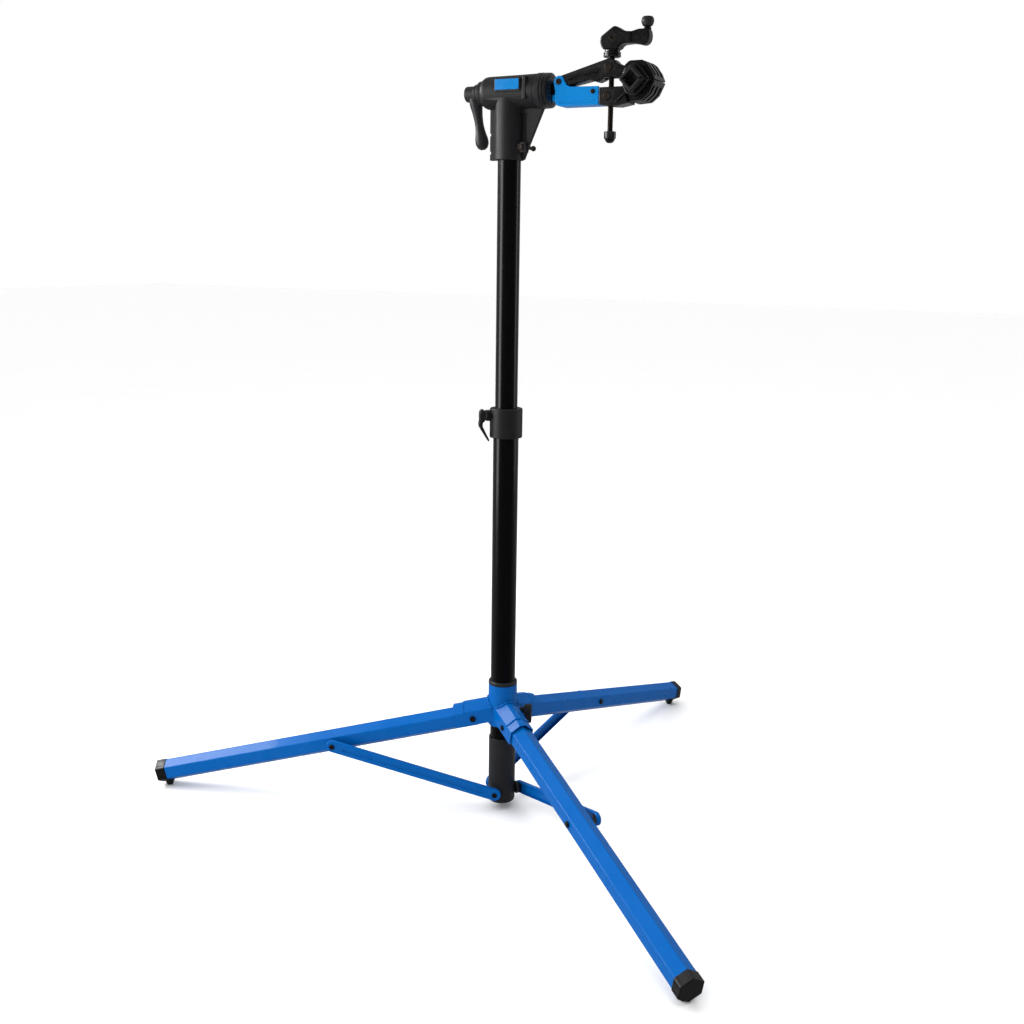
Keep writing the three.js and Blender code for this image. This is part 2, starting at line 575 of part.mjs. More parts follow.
function makeHead() {
  const leftR = BARREL_R - BARREL_TAPER;
  const barrel = join(
    axial(leftR - 4, BARREL_LEFT, BARREL_LEFT + 6.2, { rEnd: leftR }),
    axial(leftR, BARREL_LEFT + 6, BARREL_RIGHT, { rEnd: BARREL_R }),
  );
  const bottom = HEAD_SLEEVE_BOTTOM;
  const sleeve = post(SLEEVE_R, bottom, BARREL_Z);
  const rib = block([-RIB_REACH, -RIB_THICK / 2, bottom],
    [-SLEEVE_R + 3, RIB_THICK / 2, BARREL_Z - SHAFT_R + 2]);
  const gusset = plate(outline([
    [SLEEVE_R - 4, bottom], [SLEEVE_R + 4, bottom], [SLEEVE_R + 14, bottom + 25],
    [BARREL_RIGHT, BARREL_Z - BARREL_R + 4], [BARREL_RIGHT, BARREL_Z - SHAFT_R - 1],
    [SLEEVE_R - 4, BARREL_Z - SHAFT_R - 1],
  ]), -GUSSET_THICK / 2, GUSSET_THICK / 2);
  const ears = aroundMast(block([SLEEVE_R - 4, -PINCH_EAR_HALF, PINCH_Z - PINCH_EAR],
    [SLEEVE_R + PINCH_EAR, PINCH_EAR_HALF, PINCH_Z + PINCH_EAR]), SLIT_AZIMUTH);
  const badgePad = block([BADGE_LEFT - 2, -BARREL_R - BADGE_PAD, BADGE_BOTTOM - 3.5],
    [BADGE_RIGHT + 2, -BARREL_R + 18, BADGE_TOP + 2]);
  const slitTop = BARREL_Z - BARREL_R - 6;
  const slit = aroundMast(
    block([0, -SLIT / 2, bottom - 1], [SLEEVE_R + PINCH_EAR + 3, SLIT / 2, slitTop]), SLIT_AZIMUTH);
  const pinchHole = aroundMast(
    bar(PINCH_R + CLEARANCE, [pinchX, -20, PINCH_Z], [pinchX, 20, PINCH_Z], { segments: 12 }),
    SLIT_AZIMUTH);
  const housing = cut(join(barrel, sleeve, rib, gusset, ears, badgePad),
    post(INNER_R + CLEARANCE, bottom - 1, innerTop + CLEARANCE),
    axial(shaftBore, BARREL_LEFT - 1, BARREL_RIGHT + 1),
    slit, pinchHole);
  piece('head_housing', housing, MOULDED);

  const badgeBack = -BARREL_R - BADGE_PAD - CLEARANCE;
  piece('head_badge', block([BADGE_LEFT, badgeBack - BADGE_THICK, BADGE_BOTTOM],
    [BADGE_RIGHT, badgeBack, BADGE_TOP]), CAST_BLUE);

  const pinch = turnedGroup(SLIT_AZIMUTH);
  const across = (r, from, to, segments = 12) =>
    bar(r, [pinchX, from, PINCH_Z], [pinchX, to, PINCH_Z], { segments });
  const nutFace = -PINCH_EAR_HALF - CLEARANCE;
  const screwEnd = nutFace - PINCH_NUT + 1.5;
  piece('head_pinch_screw', join(
    across(PINCH_R, screwEnd, PINCH_SHANK),
    across(PINCH_R + 1.5, PINCH_SHANK, PINCH_SHANK + 5),
  ), BLACK_STEEL, pinch);
  piece('head_pinch_nut', cut(across(PINCH_R + 2, nutFace - PINCH_NUT, nutFace, 6),
    across(PINCH_R + CLEARANCE, screwEnd - CLEARANCE, 0)), BLACK_STEEL, pinch);
}

// ---------------------------------------------------------------- clamp lock
function makeLock() {
  const washer = (outer, from, to) =>
    cut(axial(outer, from, to), axial(LOCK_STUD_R + CLEARANCE, from - 1, to + 1));
  const gap = CLEARANCE / 2;
  const spacerLeft = BARREL_LEFT - 9;
  piece('lock_spacer', washer(LOCK_SPACER_R, spacerLeft, BARREL_LEFT - CLEARANCE), MOULDED);
  piece('lock_washer', washer(LOCK_WASHER_R, LEVER_HUB_RIGHT + gap, spacerLeft - gap), MOULDED);

  const hub = join(
    axial(LEVER_HUB_R - 1.5, LEVER_HUB_LEFT, LEVER_HUB_LEFT + 1.6, { rEnd: LEVER_HUB_R }),
    axial(LEVER_HUB_R, LEVER_HUB_LEFT + 1.5, LEVER_HUB_RIGHT),
  );
  const grip = turned([
    [0, 0], [5, 1], [9, 4.5], [11.5, 12], [11, 19], [8.5, 30], [7.4, 44], [8.2, 58],
    [11, 72], [11, LEVER_DROP + 1], [0, LEVER_DROP + 1],
  ], { segments: 20 });
  const gripFoot = [LEVER_HUB_LEFT + 32.5, 0, BARREL_Z - LEVER_DROP];
  const stem = cut(grip.rotate([0, -LEVER_LEAN, 0]).translate(gripFoot),
    block([LEVER_HUB_LEFT - 37, -40, BARREL_Z - 2], [0, 40, BARREL_Z + 60]),
    axial(LOCK_WASHER_R + 0.5, LEVER_HUB_RIGHT, 0),
    axial(LOCK_SPACER_R + 1, spacerLeft - CLEARANCE, 0));
  piece('clamp_lock_lever', cut(join(hub, stem),
    axial(LOCK_STUD_R + CLEARANCE, LEVER_HUB_LEFT + 6, 0, { segments: 20 })), MOULDED);
}

// ---------------------------------------------------------------- clamp
const flangeStart = BARREL_RIGHT + CLEARANCE;
const flangeEnd = flangeStart + FLANGE_LENGTH;
const armInner = ARM_HALF - ARM_PLATE;
const jawArmHalf = armInner - CLEARANCE;
const [pivotX, pivotZ] = JAW_PIVOT;
const [jawBoltX, jawBoltZ] = JAW_BOLT;

/** A cutter across the clamp's middle, along Y. */
const acrossClamp = (r, x, z, segments = 12) =>
  bar(r, [x, -ARM_HALF * 2, z], [x, ARM_HALF * 2, z], { segments });

function makeClampArm() {
  const shaft = join(
    axial(SHAFT_R, BARREL_LEFT + 2, flangeStart + 2),
    axial(FLANGE_R, flangeStart, flangeEnd - 5),
    axial(FLANGE_R, flangeEnd - 5.1, flangeEnd, { rEnd: FLANGE_R - 7 }),
    axial(LOCK_STUD_R, LEVER_HUB_LEFT + 7, BARREL_LEFT + 3, { segments: 20 }),
  );
  const hollow = axial(SHAFT_R - SHAFT_WALL, BARREL_LEFT + 12, flangeEnd + 1);
  piece('clamp_shaft', cut(shaft, hollow), CAST_BLACK);

  const side = new THREE.Shape();
  side.moveTo(ARM_START, ARM_BOTTOM + 5);
  side.lineTo(ARM_START + 5, ARM_BOTTOM);
  side.lineTo(ARM_END, ARM_BOTTOM);
  side.lineTo(ARM_END, ARM_TOP);
  side.lineTo(pivotX + 15, ARM_TOP + 5);
  side.absarc(pivotX, pivotZ, JAW_PIVOT_R, 0, Math.PI, false);
  side.lineTo(ARM_START + 3, ARM_TOP - 5);
  side.lineTo(ARM_START, ARM_TOP - 10);
  const noseZ = BARREL_Z - 12;
  const nose = bar(ARM_HALF + 1, [flangeEnd + CLEARANCE, 0, noseZ], [ARM_START + 4, 0, noseZ],
    { segments: 24 }).intersect(
    block([ARM_START - 5, -ARM_HALF, ARM_BOTTOM], [ARM_START + 5, ARM_HALF, ARM_TOP - 10]));
  const arm = cut(
    join(plate(side, -ARM_HALF, ARM_HALF, 8), nose),
    block([ARM_START + 5, -armInner, ARM_BOTTOM + ARM_PLATE], [ARM_END + 1, armInner, pivotZ + 20]),
    block([ARM_START - 5, -armInner, ARM_TOP - 6], [ARM_START + 6, armInner, pivotZ + 20]),
    acrossClamp(BOLT_R + CLEARANCE, pivotX, pivotZ),
    acrossClamp(JAW_BOLT_R + CLEARANCE, jawBoltX, jawBoltZ),
  );
  piece('clamp_arm', arm, CAST_BLUE);

  const bolt = (x, z, r, head) => {
    const stretch = (radius, from, to, segments = 12) =>
      bar(radius, [x, from, z], [x, to, z], { segments });
    return join(
      stretch(r, -ARM_HALF - 2, ARM_HALF + 2),
      stretch(head, -ARM_HALF - 2.5, -ARM_HALF - CLEARANCE),
      stretch(head, ARM_HALF + CLEARANCE, ARM_HALF + 2.5, 6),
    );
  };
  piece('jaw_pivot_bolt', bolt(pivotX, pivotZ, BOLT_R, BOLT_R + 1), BLACK_STEEL);
  piece('lower_jaw_bolt', bolt(jawBoltX, jawBoltZ, JAW_BOLT_R, JAW_BOLT_R + 0.8), BLACK_STEEL);
}

// ---------------------------------------------------------------- jaws
const bracketY = PAD_FRONT - JAW_HALF_LENGTH; // front face of the jaws' brackets
const linerOuter = PAD_INNER + PAD_LINER;

/** Half of the jaws' diamond: +1 is the upper half, -1 the lower. */
function padShape(sign, outer) {
  const seam = (sign * JAW_GAP) / 2;
  const at = (dx, dz) => [JAW_X + dx, JAW_Z + dz];
  const outerX = outer - JAW_GAP / 2;
  const innerX = PAD_INNER - JAW_GAP / 2;
  return outline([
    at(-outerX, seam), at(0, sign * outer), at(outerX, seam),
    at(innerX, seam), at(0, sign * PAD_INNER), at(-innerX, seam),
  ]);
}

/** One rubber pad: a thick diamond in front and a thinner liner inside the jaw's bracket. */
const padBody = (sign) => join(
  plate(padShape(sign, PAD_OUTER), -JAW_HALF_LENGTH, bracketY - CLEARANCE),
  plate(padShape(sign, linerOuter), bracketY - 1, JAW_HALF_LENGTH),
);

/** The room that a pad's liner takes in its bracket. */
function padSeat(sign) {
  const room = linerOuter + CLEARANCE * Math.SQRT2;
  return plate(outline([
    [JAW_X - room - 1, JAW_Z - sign], [JAW_X, JAW_Z + sign * room], [JAW_X + room + 1, JAW_Z - sign],
  ]), bracketY - 1, JAW_HALF_LENGTH + 1);
}

/** The spindle's slot through a jaw, narrow at its trunnion: half-widths at [height, left, right]. */
const spindleSlot = (rows) => plate(outline([
  ...rows.map(([z, left]) => [SPINDLE_X - SPINDLE_R - left, z]),
  ...rows.map(([z, , right]) => [SPINDLE_X + SPINDLE_R + right, z]).reverse(),
]), -SPINDLE_R - 1.2, SPINDLE_R + 1.2);

/** Upper jaw: a beam from the pivot over the trunnion to a bracket around the pad. */
function upperJaw() {
  const seam = JAW_Z + JAW_GAP / 2;
  const at = (dx, dz) => [JAW_X + dx, JAW_Z + dz];
  const beam = new THREE.Shape();
  beam.absarc(pivotX, pivotZ, JAW_PIVOT_R - 0.5, radians(110), radians(275), false);
  beam.lineTo(SPINDLE_X - 33, BARREL_Z + 12);
  beam.lineTo(SPINDLE_X - 21, BARREL_Z + 8.5);
  beam.lineTo(SPINDLE_X - 7, BARREL_Z + 14.5);
  beam.lineTo(SPINDLE_X + 7, BARREL_Z + 14.5);
  beam.lineTo(JAW_X - PAD_OUTER + 3, seam);
  beam.lineTo(...at(-8, 17));
  beam.lineTo(...at(-18, 23.5));
  beam.absarc(SPINDLE_X, TRUNNION_UP_Z, TRUNNION_R + 6, radians(20), radians(115), false);
  const bracket = outline([
    [JAW_X - PAD_OUTER, seam], at(-PAD_OUTER - 3, 18), at(-15, 31), at(9, 31), at(20, 20),
    at(28, 8), [JAW_X + 31, seam],
  ]);
  return cut(
    join(plate(beam, -jawArmHalf, jawArmHalf, 8), plate(bracket, bracketY, JAW_HALF_LENGTH)),
    padSeat(1),
    spindleSlot([
      [BARREL_Z + 3, 8.5, 2.5], [TRUNNION_UP_Z - 9, 6, 2.5], [TRUNNION_UP_Z, 2.5, 2.5],
      [TRUNNION_UP_Z + 7, 3.5, 3.5], [WASHER_BOTTOM + 4, 11.5, 11.5],
    ]),
    acrossClamp(TRUNNION_R + CLEARANCE, SPINDLE_X, TRUNNION_UP_Z, 20),
    acrossClamp(BOLT_R + CLEARANCE, pivotX, pivotZ));
}

/** Lower jaw: a block bolted into the arm's channel, with the bracket under the pad. */
function lowerJaw() {
  const seam = JAW_Z - JAW_GAP / 2;
  const at = (dx, dz) => [JAW_X + dx, JAW_Z + dz];
  const top = ARM_TOP - 2;
  const shoulder = ARM_END + CLEARANCE;
  const tongue = block([ARM_END - 28, -jawArmHalf, ARM_BOTTOM + ARM_PLATE + CLEARANCE],
    [ARM_END + 4, jawArmHalf, top]);
  const body = outline([
    [shoulder, ARM_BOTTOM], [SPINDLE_X + 15, ARM_BOTTOM - 3], at(-12, -34),
    at(-PAD_OUTER + 2, -8), [SPINDLE_X + 18, top], [shoulder, top],
  ]);
  const bracket = outline([
    [JAW_X - PAD_OUTER, seam], at(-PAD_OUTER, -18), at(-14, -32), at(10, -30), at(22, -20),
    at(28, -8), [JAW_X + 31, seam],
  ]);
  return cut(
    join(tongue, plate(body, -ARM_HALF, ARM_HALF), plate(bracket, bracketY, JAW_HALF_LENGTH)),
    padSeat(-1),
    spindleSlot([
      [ARM_BOTTOM - 8.5, 11.5, 11.5], [TRUNNION_LOW_Z, 3, 3], [ARM_TOP + 8, 9.5, 7.5],
    ]),
    acrossClamp(TRUNNION_R + CLEARANCE, SPINDLE_X, TRUNNION_LOW_Z, 20),
    acrossClamp(JAW_BOLT_R + CLEARANCE, jawBoltX, jawBoltZ));
}

function makeJaws() {
  piece('upper_jaw_pad', padBody(1), RUBBER);
  piece('lower_jaw_pad', padBody(-1), RUBBER);
  piece('upper_jaw', upperJaw(), CAST_BLACK);
  piece('lower_jaw', lowerJaw(), CAST_BLACK);
}

// ---------------------------------------------------------------- spindle
function makeSpindle() {
  const upright = (r, bottom, top) => bar(r, [SPINDLE_X, 0, bottom], [SPINDLE_X, 0, top]);
  const room = SPINDLE_R + CLEARANCE;
  const trunnion = (z, half) => cut(
    bar(TRUNNION_R, [SPINDLE_X, -half - 1, z], [SPINDLE_X, half + 1, z]),
    upright(room, z - TRUNNION_R * 2, z + TRUNNION_R * 2));
  piece('upper_trunnion', trunnion(TRUNNION_UP_Z, jawArmHalf), BLACK_STEEL);
  piece('lower_trunnion_nut', trunnion(TRUNNION_LOW_Z, ARM_HALF), BLACK_STEEL);

  piece('clamp_spindle', upright(SPINDLE_R, SPINDLE_BOTTOM, CRANK_BOTTOM + CRANK_SOCKET), BLACK_STEEL);
  const washerTop = CRANK_BOTTOM - CLEARANCE;
  piece('thrust_washer', turned([
    [room, WASHER_BOTTOM], [WASHER_R - 1, WASHER_BOTTOM], [WASHER_R, WASHER_BOTTOM + 1],
    [WASHER_R, WASHER_BOTTOM + 7], [WASHER_R - 1.5, WASHER_BOTTOM + 8],
    [WASHER_R - 1.5, washerTop], [room, washerTop], [room, WASHER_BOTTOM],
  ], { x: SPINDLE_X }), CAST_BLACK);
  const capBottom = SPINDLE_BOTTOM - 12;
  const capTop = capBottom + 18;
  piece('spindle_end_cap', cut(turned([
    [0, capBottom], [END_CAP_R - 5.7, capBottom + 0.6], [END_CAP_R - 2.3, capBottom + 3],
    [END_CAP_R - 1.1, capBottom + 6.5], [END_CAP_R, capBottom + 9], [END_CAP_R, capTop], [0, capTop],
  ], { x: SPINDLE_X }), upright(room, SPINDLE_BOTTOM - CLEARANCE, capTop + 1)), CAST_BLACK);
}

// ---------------------------------------------------------------- crank
function makeCrank() {
  const at = (dx, dz) => [SPINDLE_X + dx, CRANK_BOTTOM + dz];
  const hub = plate(outline([
    at(-12, 0), at(12, 0), at(16, 3.5), at(20, 7.5), at(35, 8), at(35, 25.4), at(21, 26.7),
    at(7, 35), at(-17, 20), at(-18, 11.5),
  ]), -CRANK_HALF - 1.5, CRANK_HALF + 1.5);
  const armShape = new THREE.Shape();
  armShape.moveTo(...at(30, 8));
  armShape.quadraticCurveTo(...at(42, 9), ...at(CRANK_REACH - 6.5, 4.5));
  armShape.quadraticCurveTo(...at(CRANK_REACH + 5.5, 4), ...at(CRANK_REACH + 7, 17));
  armShape.lineTo(...at(CRANK_REACH + 5.5, 27.5));
  armShape.lineTo(...at(46, 28.5));
  armShape.lineTo(...at(30, 25.4));
  const knobX = SPINDLE_X + CRANK_REACH;
  const stemR = KNOB_STEM_R;
  const shoulder = KNOB_Z - 11;
  const stem = turned([
    [0, shoulder - 9], [stemR + 2, shoulder - 9], [stemR + 2, shoulder], [stemR, shoulder + 2.5],
    [stemR, KNOB_Z + 3], [0, KNOB_Z + 3],
  ], { x: knobX });
  const screw = (r, from, to) =>
    bar(r, [SPINDLE_X + 2, from, CRANK_BOTTOM + 18], [SPINDLE_X + 2, to, CRANK_BOTTOM + 18]);
  const socketTop = CRANK_BOTTOM + CRANK_SOCKET + CLEARANCE;
  const crank = cut(
    join(hub, plate(armShape, -CRANK_HALF + 1, CRANK_HALF - 1, 6), stem),
    bar(SPINDLE_R + CLEARANCE, [SPINDLE_X, 0, CRANK_BOTTOM - 1], [SPINDLE_X, 0, socketTop]),
    screw(CRANK_SCREW_R + 0.5, -CRANK_HALF - 5, -CRANK_HALF + 4));
  piece('crank_arm', crank, CAST_BLACK);
  piece('crank_screw', screw(CRANK_SCREW_R, -CRANK_HALF, -CRANK_HALF + 4 - CLEARANCE), BLACK_STEEL);

  const knob = turned([
    [0, KNOB_Z - 7.4], [7.2, KNOB_Z - 7.4], [9.2, KNOB_Z - 4], [KNOB_R, KNOB_Z],
    [9.3, KNOB_Z + 3.6], [7, KNOB_Z + 6], [3.5, KNOB_Z + 7], [0, KNOB_Z + 7.2],
  ], { x: knobX });
  piece('crank_knob', cut(knob, bar(stemR + CLEARANCE, [knobX, 0, KNOB_Z - 10],
    [knobX, 0, KNOB_Z + 3 + CLEARANCE])), CAST_BLACK);
}

makeMast();
makeBoot();
makeCollar();
makeHub();
makeLegs();
makeHead();
makeLock();
makeClampArm();
makeJaws();
makeSpindle();
makeCrank();

export default stand;
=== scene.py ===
"""Folding bicycle repair stand: the finished pieces, their materials and a plain studio.

Sizes in the outlines below are millimetres in the stand's own frame: the origin is on the mast's axis at
the underside of its boot, +Z is up and +X runs along the head's barrel towards the clamp. The helpers turn
them into metres.
"""

import json
import math

import bpy
from mathutils import Matrix, Vector


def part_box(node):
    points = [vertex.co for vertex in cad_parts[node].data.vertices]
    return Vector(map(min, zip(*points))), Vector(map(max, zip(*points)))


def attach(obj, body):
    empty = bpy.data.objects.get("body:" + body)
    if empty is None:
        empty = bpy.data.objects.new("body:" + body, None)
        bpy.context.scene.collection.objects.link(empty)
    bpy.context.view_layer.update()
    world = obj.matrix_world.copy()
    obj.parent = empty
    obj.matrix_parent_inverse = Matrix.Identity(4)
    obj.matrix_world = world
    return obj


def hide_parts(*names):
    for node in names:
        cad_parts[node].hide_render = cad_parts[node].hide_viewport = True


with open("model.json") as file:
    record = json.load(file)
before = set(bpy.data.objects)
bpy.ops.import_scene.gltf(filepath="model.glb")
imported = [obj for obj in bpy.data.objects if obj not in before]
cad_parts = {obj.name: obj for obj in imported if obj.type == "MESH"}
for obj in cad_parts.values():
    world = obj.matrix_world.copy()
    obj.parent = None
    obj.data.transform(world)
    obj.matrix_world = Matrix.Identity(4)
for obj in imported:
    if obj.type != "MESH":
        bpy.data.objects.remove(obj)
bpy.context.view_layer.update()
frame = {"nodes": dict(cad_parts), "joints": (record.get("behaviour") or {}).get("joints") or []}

bl_info = {
    "name": "Bicycle repair stand",
    "version": (1, 0, 0),
    "blender": (4, 5, 0),
    "location": "View3D > Sidebar > Repair stand",
    "description": "Models the pieces of a folding bicycle repair stand around its frame",
    "category": "Mesh",
}

MM = 0.001
JOINTS = {joint["name"]: joint for joint in frame["joints"]}
SIDES = ("front", "right", "left")


# ---------------------------------------------------------------- places from the frame, in millimetres
def low(node):
    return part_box(node)[0] / MM


def high(node):
    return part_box(node)[1] / MM


def pivot(joint):
    return Vector(JOINTS[joint]["pos_m"]) / MM


def across(side):
    """Distance from a hexagon's middle to its flats."""
    return side * math.sqrt(3) / 2


def azimuth_of(place):
    """Direction of a place from the mast's axis, in degrees."""
    return math.degrees(math.atan2(place.y, place.x))


FIT = 0.3
MAST_R = high("lower_mast_tube").x
INNER_R = high("upper_mast_tube").x
COLLAR_R = MAST_R + 6.5
BARREL_Z = pivot("clamp_rotation").z
BARREL = (0, 0, BARREL_Z)
BARREL_LEFT = low("head_housing").x
BARREL_RIGHT = high("head_housing").x
SLEEVE_BOTTOM = low("head_housing").z
SPINDLE_X = pivot("crank_turn").x
SPINDLE = (SPINDLE_X, 0, 0)
TRUNNION_UP_Z = pivot("upper_trunnion_tilt").z
TRUNNION_LOW_Z = pivot("lower_nut_tilt").z
JAW_PIVOT = pivot("jaw_open")
ARM_START, ARM_END = low("clamp_arm").x + 1.4, high("clamp_arm").x
ARM_BOTTOM = low("clamp_arm").z
ARM_TOP = BARREL_Z + 1.5
ARM_HALF = high("clamp_arm").y
JAW_BOLT = (ARM_END - 10, ARM_TOP - 8)
JAW_HALF = ARM_HALF - 3.3
PAD_BOX = low("upper_jaw_pad"), high("upper_jaw_pad")
JAW_X = (PAD_BOX[0].x + PAD_BOX[1].x) / 2
JAW_Z = PAD_BOX[0].z - 0.5
JAW_FRONT = PAD_BOX[0].y
JAW_BACK = PAD_BOX[1].y
CRANK_BOTTOM = low("crank_arm").z
CRANK_SCREW = (SPINDLE_X + 2, 0, CRANK_BOTTOM + 18)
KNOB = pivot("knob_spin")
LEG_PIVOT = {side: pivot(f"{side}_leg_fold") for side in SIDES}
LEG_AZIMUTH = {side: math.atan2(p.y, p.x) for side, p in LEG_PIVOT.items()}
LEG_PIVOT_R = math.hypot(LEG_PIVOT["front"].x, LEG_PIVOT["front"].y)
LEG_PIVOT_Z = LEG_PIVOT["front"].z
FLOOR_Z = low("front_foot_cap").z
LEG_SIDE = 21.8
LEG_FLAT = across(LEG_SIDE)
LEG_LENGTH = 636
CAP_START = 619
FOOT_AXIS_HEIGHT = 30.6
LEG_SLOPE = math.asin((LEG_PIVOT_Z - FLOOR_Z - FOOT_AXIS_HEIGHT) / CAP_START)
STRUT_BOLT_AT = 273
STRUT_PIVOT_R = 9
STRUT_PIVOT_Z = pivot("front_strut_fold").z
STRUT_Y = (29.3, 37.3)
HOOD_HALF = 22.4
SLIT_AZIMUTH = azimuth_of(pivot("pinch_screw_turn"))
PINCH = Vector((29, 0, 1187))


# ---------------------------------------------------------------- settings
def hex_default(value):
    """An sRGB hex colour as linear numbers."""
    parts = [int(value[i:i + 2], 16) / 255 for i in (1, 3, 5)]
    linear = [p / 12.92 if p <= 0.04045 else ((p + 0.055) / 1.055) ** 2.4 for p in parts]
    return (*linear, 1.0)


def colour_property(name, description, value):
    return bpy.props.FloatVectorProperty(
        name=name, description=description, default=hex_default(value), size=4, subtype="COLOR")


class StandColours(bpy.types.PropertyGroup):
    tripod: colour_property("Tripod", "Powder coat on the legs, hub and struts", "#00529a")
    arm: colour_property("Clamp arm", "Enamel on the arm of the clamp", "#006cae")
    mast: colour_property("Mast", "Gloss enamel on both tubes", "#050506")
    moulding: colour_property("Mouldings", "Glass-filled nylon of the head, boot and collar", "#19191b")
    casting: colour_property("Castings", "Enamel on the jaws and crank", "#08080a")
    rubber: colour_property("Rubber", "Foot caps and jaw pads", "#101011")
    steel: colour_property("Fasteners", "Black oxide on bolts and spindle", "#3a332e")


class StandSizes(bpy.types.PropertyGroup):
    tube_steps: bpy.props.IntProperty(
        name="Tube steps", description="Faces round a large tube", default=96, min=24, max=256)
    leg_corner: bpy.props.FloatProperty(
        name="Leg corner", description="Radius on the six corners of a leg",
        default=1.8 * MM, min=0.0, unit="LENGTH", subtype="DISTANCE")


def colours():
    return bpy.context.scene.stand_colours


def sizes():
    return bpy.context.scene.stand_sizes


# ---------------------------------------------------------------- materials
def node(tree, kind, settings=None, **inputs):
    """Adds one node. Inputs are values or (node, output) links, with _ for a space in a socket's name."""
    made = tree.nodes.new(kind)
    for key, value in (settings or {}).items():
        setattr(made, key, value)
    for key, value in inputs.items():
        socket = made.inputs[int(key[1:])] if key[1:].isdigit() else made.inputs[key.replace("_", " ")]
        if isinstance(value, tuple) and isinstance(value[0], bpy.types.Node):
            tree.links.new(value[0].outputs[value[1]], socket)
        else:
            socket.default_value = value
    return made


def shade(colour, factor):
    return tuple(min(1.0, part * factor) for part in colour[:3]) + (1.0,)


def surface(name, colour, roughness, specular, metallic=0.0, coat=0.0, coat_roughness=0.1,
            grain_mm=1.0, grain_depth_mm=0.02, mottle=0.1, mottle_mm=30.0, rough_spread=0.05, rubbed=None):
    """A finish with a fine grain, a slow change of shade and gloss, and paler rubbed edges."""
    material = bpy.data.materials.new(name)
    material.use_nodes = True
    tree = material.node_tree
    shader = tree.nodes["Principled BSDF"]
    shader.inputs["Metallic"].default_value = metallic
    shader.inputs["Specular IOR Level"].default_value = specular
    shader.inputs["Coat Weight"].default_value = coat
    shader.inputs["Coat Roughness"].default_value = coat_roughness
    place = node(tree, "ShaderNodeTexCoord")
    slow = node(tree, "ShaderNodeTexNoise", Vector=(place, "Object"),
                Scale=1 / (mottle_mm * MM), Detail=3.0, Roughness=0.55)
    tone = node(tree, "ShaderNodeMix", {"data_type": "RGBA"}, _0=(slow, "Fac"),
                _6=shade(colour, 1 - mottle), _7=shade(colour, 1 + mottle))
    if rubbed:
        bend = node(tree, "ShaderNodeNewGeometry")
        worn = node(tree, "ShaderNodeMapRange", Value=(bend, "Pointiness"),
                    From_Min=0.53, From_Max=0.62, To_Min=0.0, To_Max=0.5)
        tone = node(tree, "ShaderNodeMix", {"data_type": "RGBA"}, _0=(worn, "Result"),
                    _6=(tone, 2), _7=hex_default(rubbed))
    tree.links.new(tone.outputs[2], shader.inputs["Base Color"])
    spread = node(tree, "ShaderNodeMapRange", Value=(slow, "Fac"), From_Min=0.3, From_Max=0.7,
                  To_Min=max(0.02, roughness - rough_spread), To_Max=roughness + rough_spread)
    tree.links.new(spread.outputs["Result"], shader.inputs["Roughness"])
    grain = node(tree, "ShaderNodeTexNoise", Vector=(place, "Object"),
                 Scale=1 / (grain_mm * MM), Detail=2.0, Roughness=0.6)
    bump = node(tree, "ShaderNodeBump", Height=(grain, "Fac"), Distance=grain_depth_mm * MM,
                Strength=0.6)
    tree.links.new(bump.outputs["Normal"], shader.inputs["Normal"])
    return material


def powder_coat():
    """Polyester powder coat: deep even blue with a hard gloss and a faint orange peel of 4 mm waves."""
    return surface("polyester_powder_coat", colours().tripod, 0.28, 0.08, coat=0.12, coat_roughness=0.05,
                   grain_mm=4.0, grain_depth_mm=0.012, mottle=0.05, mottle_mm=60.0)


def arm_enamel():
    """Enamel over a bent steel arm: a lighter, flatter blue with a soft gloss."""
    return surface("enamelled_bent_steel", colours().arm, 0.36, 0.15, coat=0.15, coat_roughness=0.15,
                   grain_mm=2.0, grain_depth_mm=0.01, mottle=0.04, mottle_mm=25.0)


def mast_enamel():
    """Gloss stoving enamel on drawn tube: near black, with long clean reflections."""
    return surface("stoved_gloss_enamel", colours().mast, 0.24, 0.3, coat=0.15, coat_roughness=0.12,
                   grain_mm=12.0, grain_depth_mm=0.004, mottle=0.08, mottle_mm=80.0, rough_spread=0.03)


def moulded_nylon():
    """Glass-filled nylon from a sparked mould: charcoal, dull, with a fine even grain."""
    return surface("glass_filled_nylon", colours().moulding, 0.46, 0.4, grain_mm=0.9,
                   grain_depth_mm=0.02, mottle=0.10, mottle_mm=18.0, rubbed="#3a3a3c")


def satin_nylon():
    """Unfilled nylon of the boot and bushes: the same charcoal with a broad satin sheen."""
    return surface("satin_nylon", shade(colours().moulding, 1.5), 0.40, 0.4, grain_mm=1.5,
                   grain_depth_mm=0.01, mottle=0.08)


def cast_enamel():
    """Black enamel over die-cast metal: satin, slightly lumpy, brighter along rubbed edges."""
    return surface("enamelled_die_casting", colours().casting, 0.28, 0.6, coat=0.3, coat_roughness=0.15,
                   grain_mm=1.6, grain_depth_mm=0.02, mottle=0.15, mottle_mm=14.0, rubbed="#3e3e40")


def moulded_rubber():
    """Moulded rubber of the feet and pads: dull charcoal with a dusty bloom on its edges."""
    return surface("moulded_rubber", colours().rubber, 0.42, 0.5, grain_mm=1.1, grain_depth_mm=0.02,
                   mottle=0.14, mottle_mm=12.0, rubbed="#2c2c2e")


def black_oxide():
    """Black-oxided steel: dark and slightly brown, with a tight metal glint."""
    return surface("black_oxide_steel", colours().steel, 0.36, 0.5, metallic=0.85, grain_mm=0.7,
                   grain_depth_mm=0.01, mottle=0.25, mottle_mm=5.0)


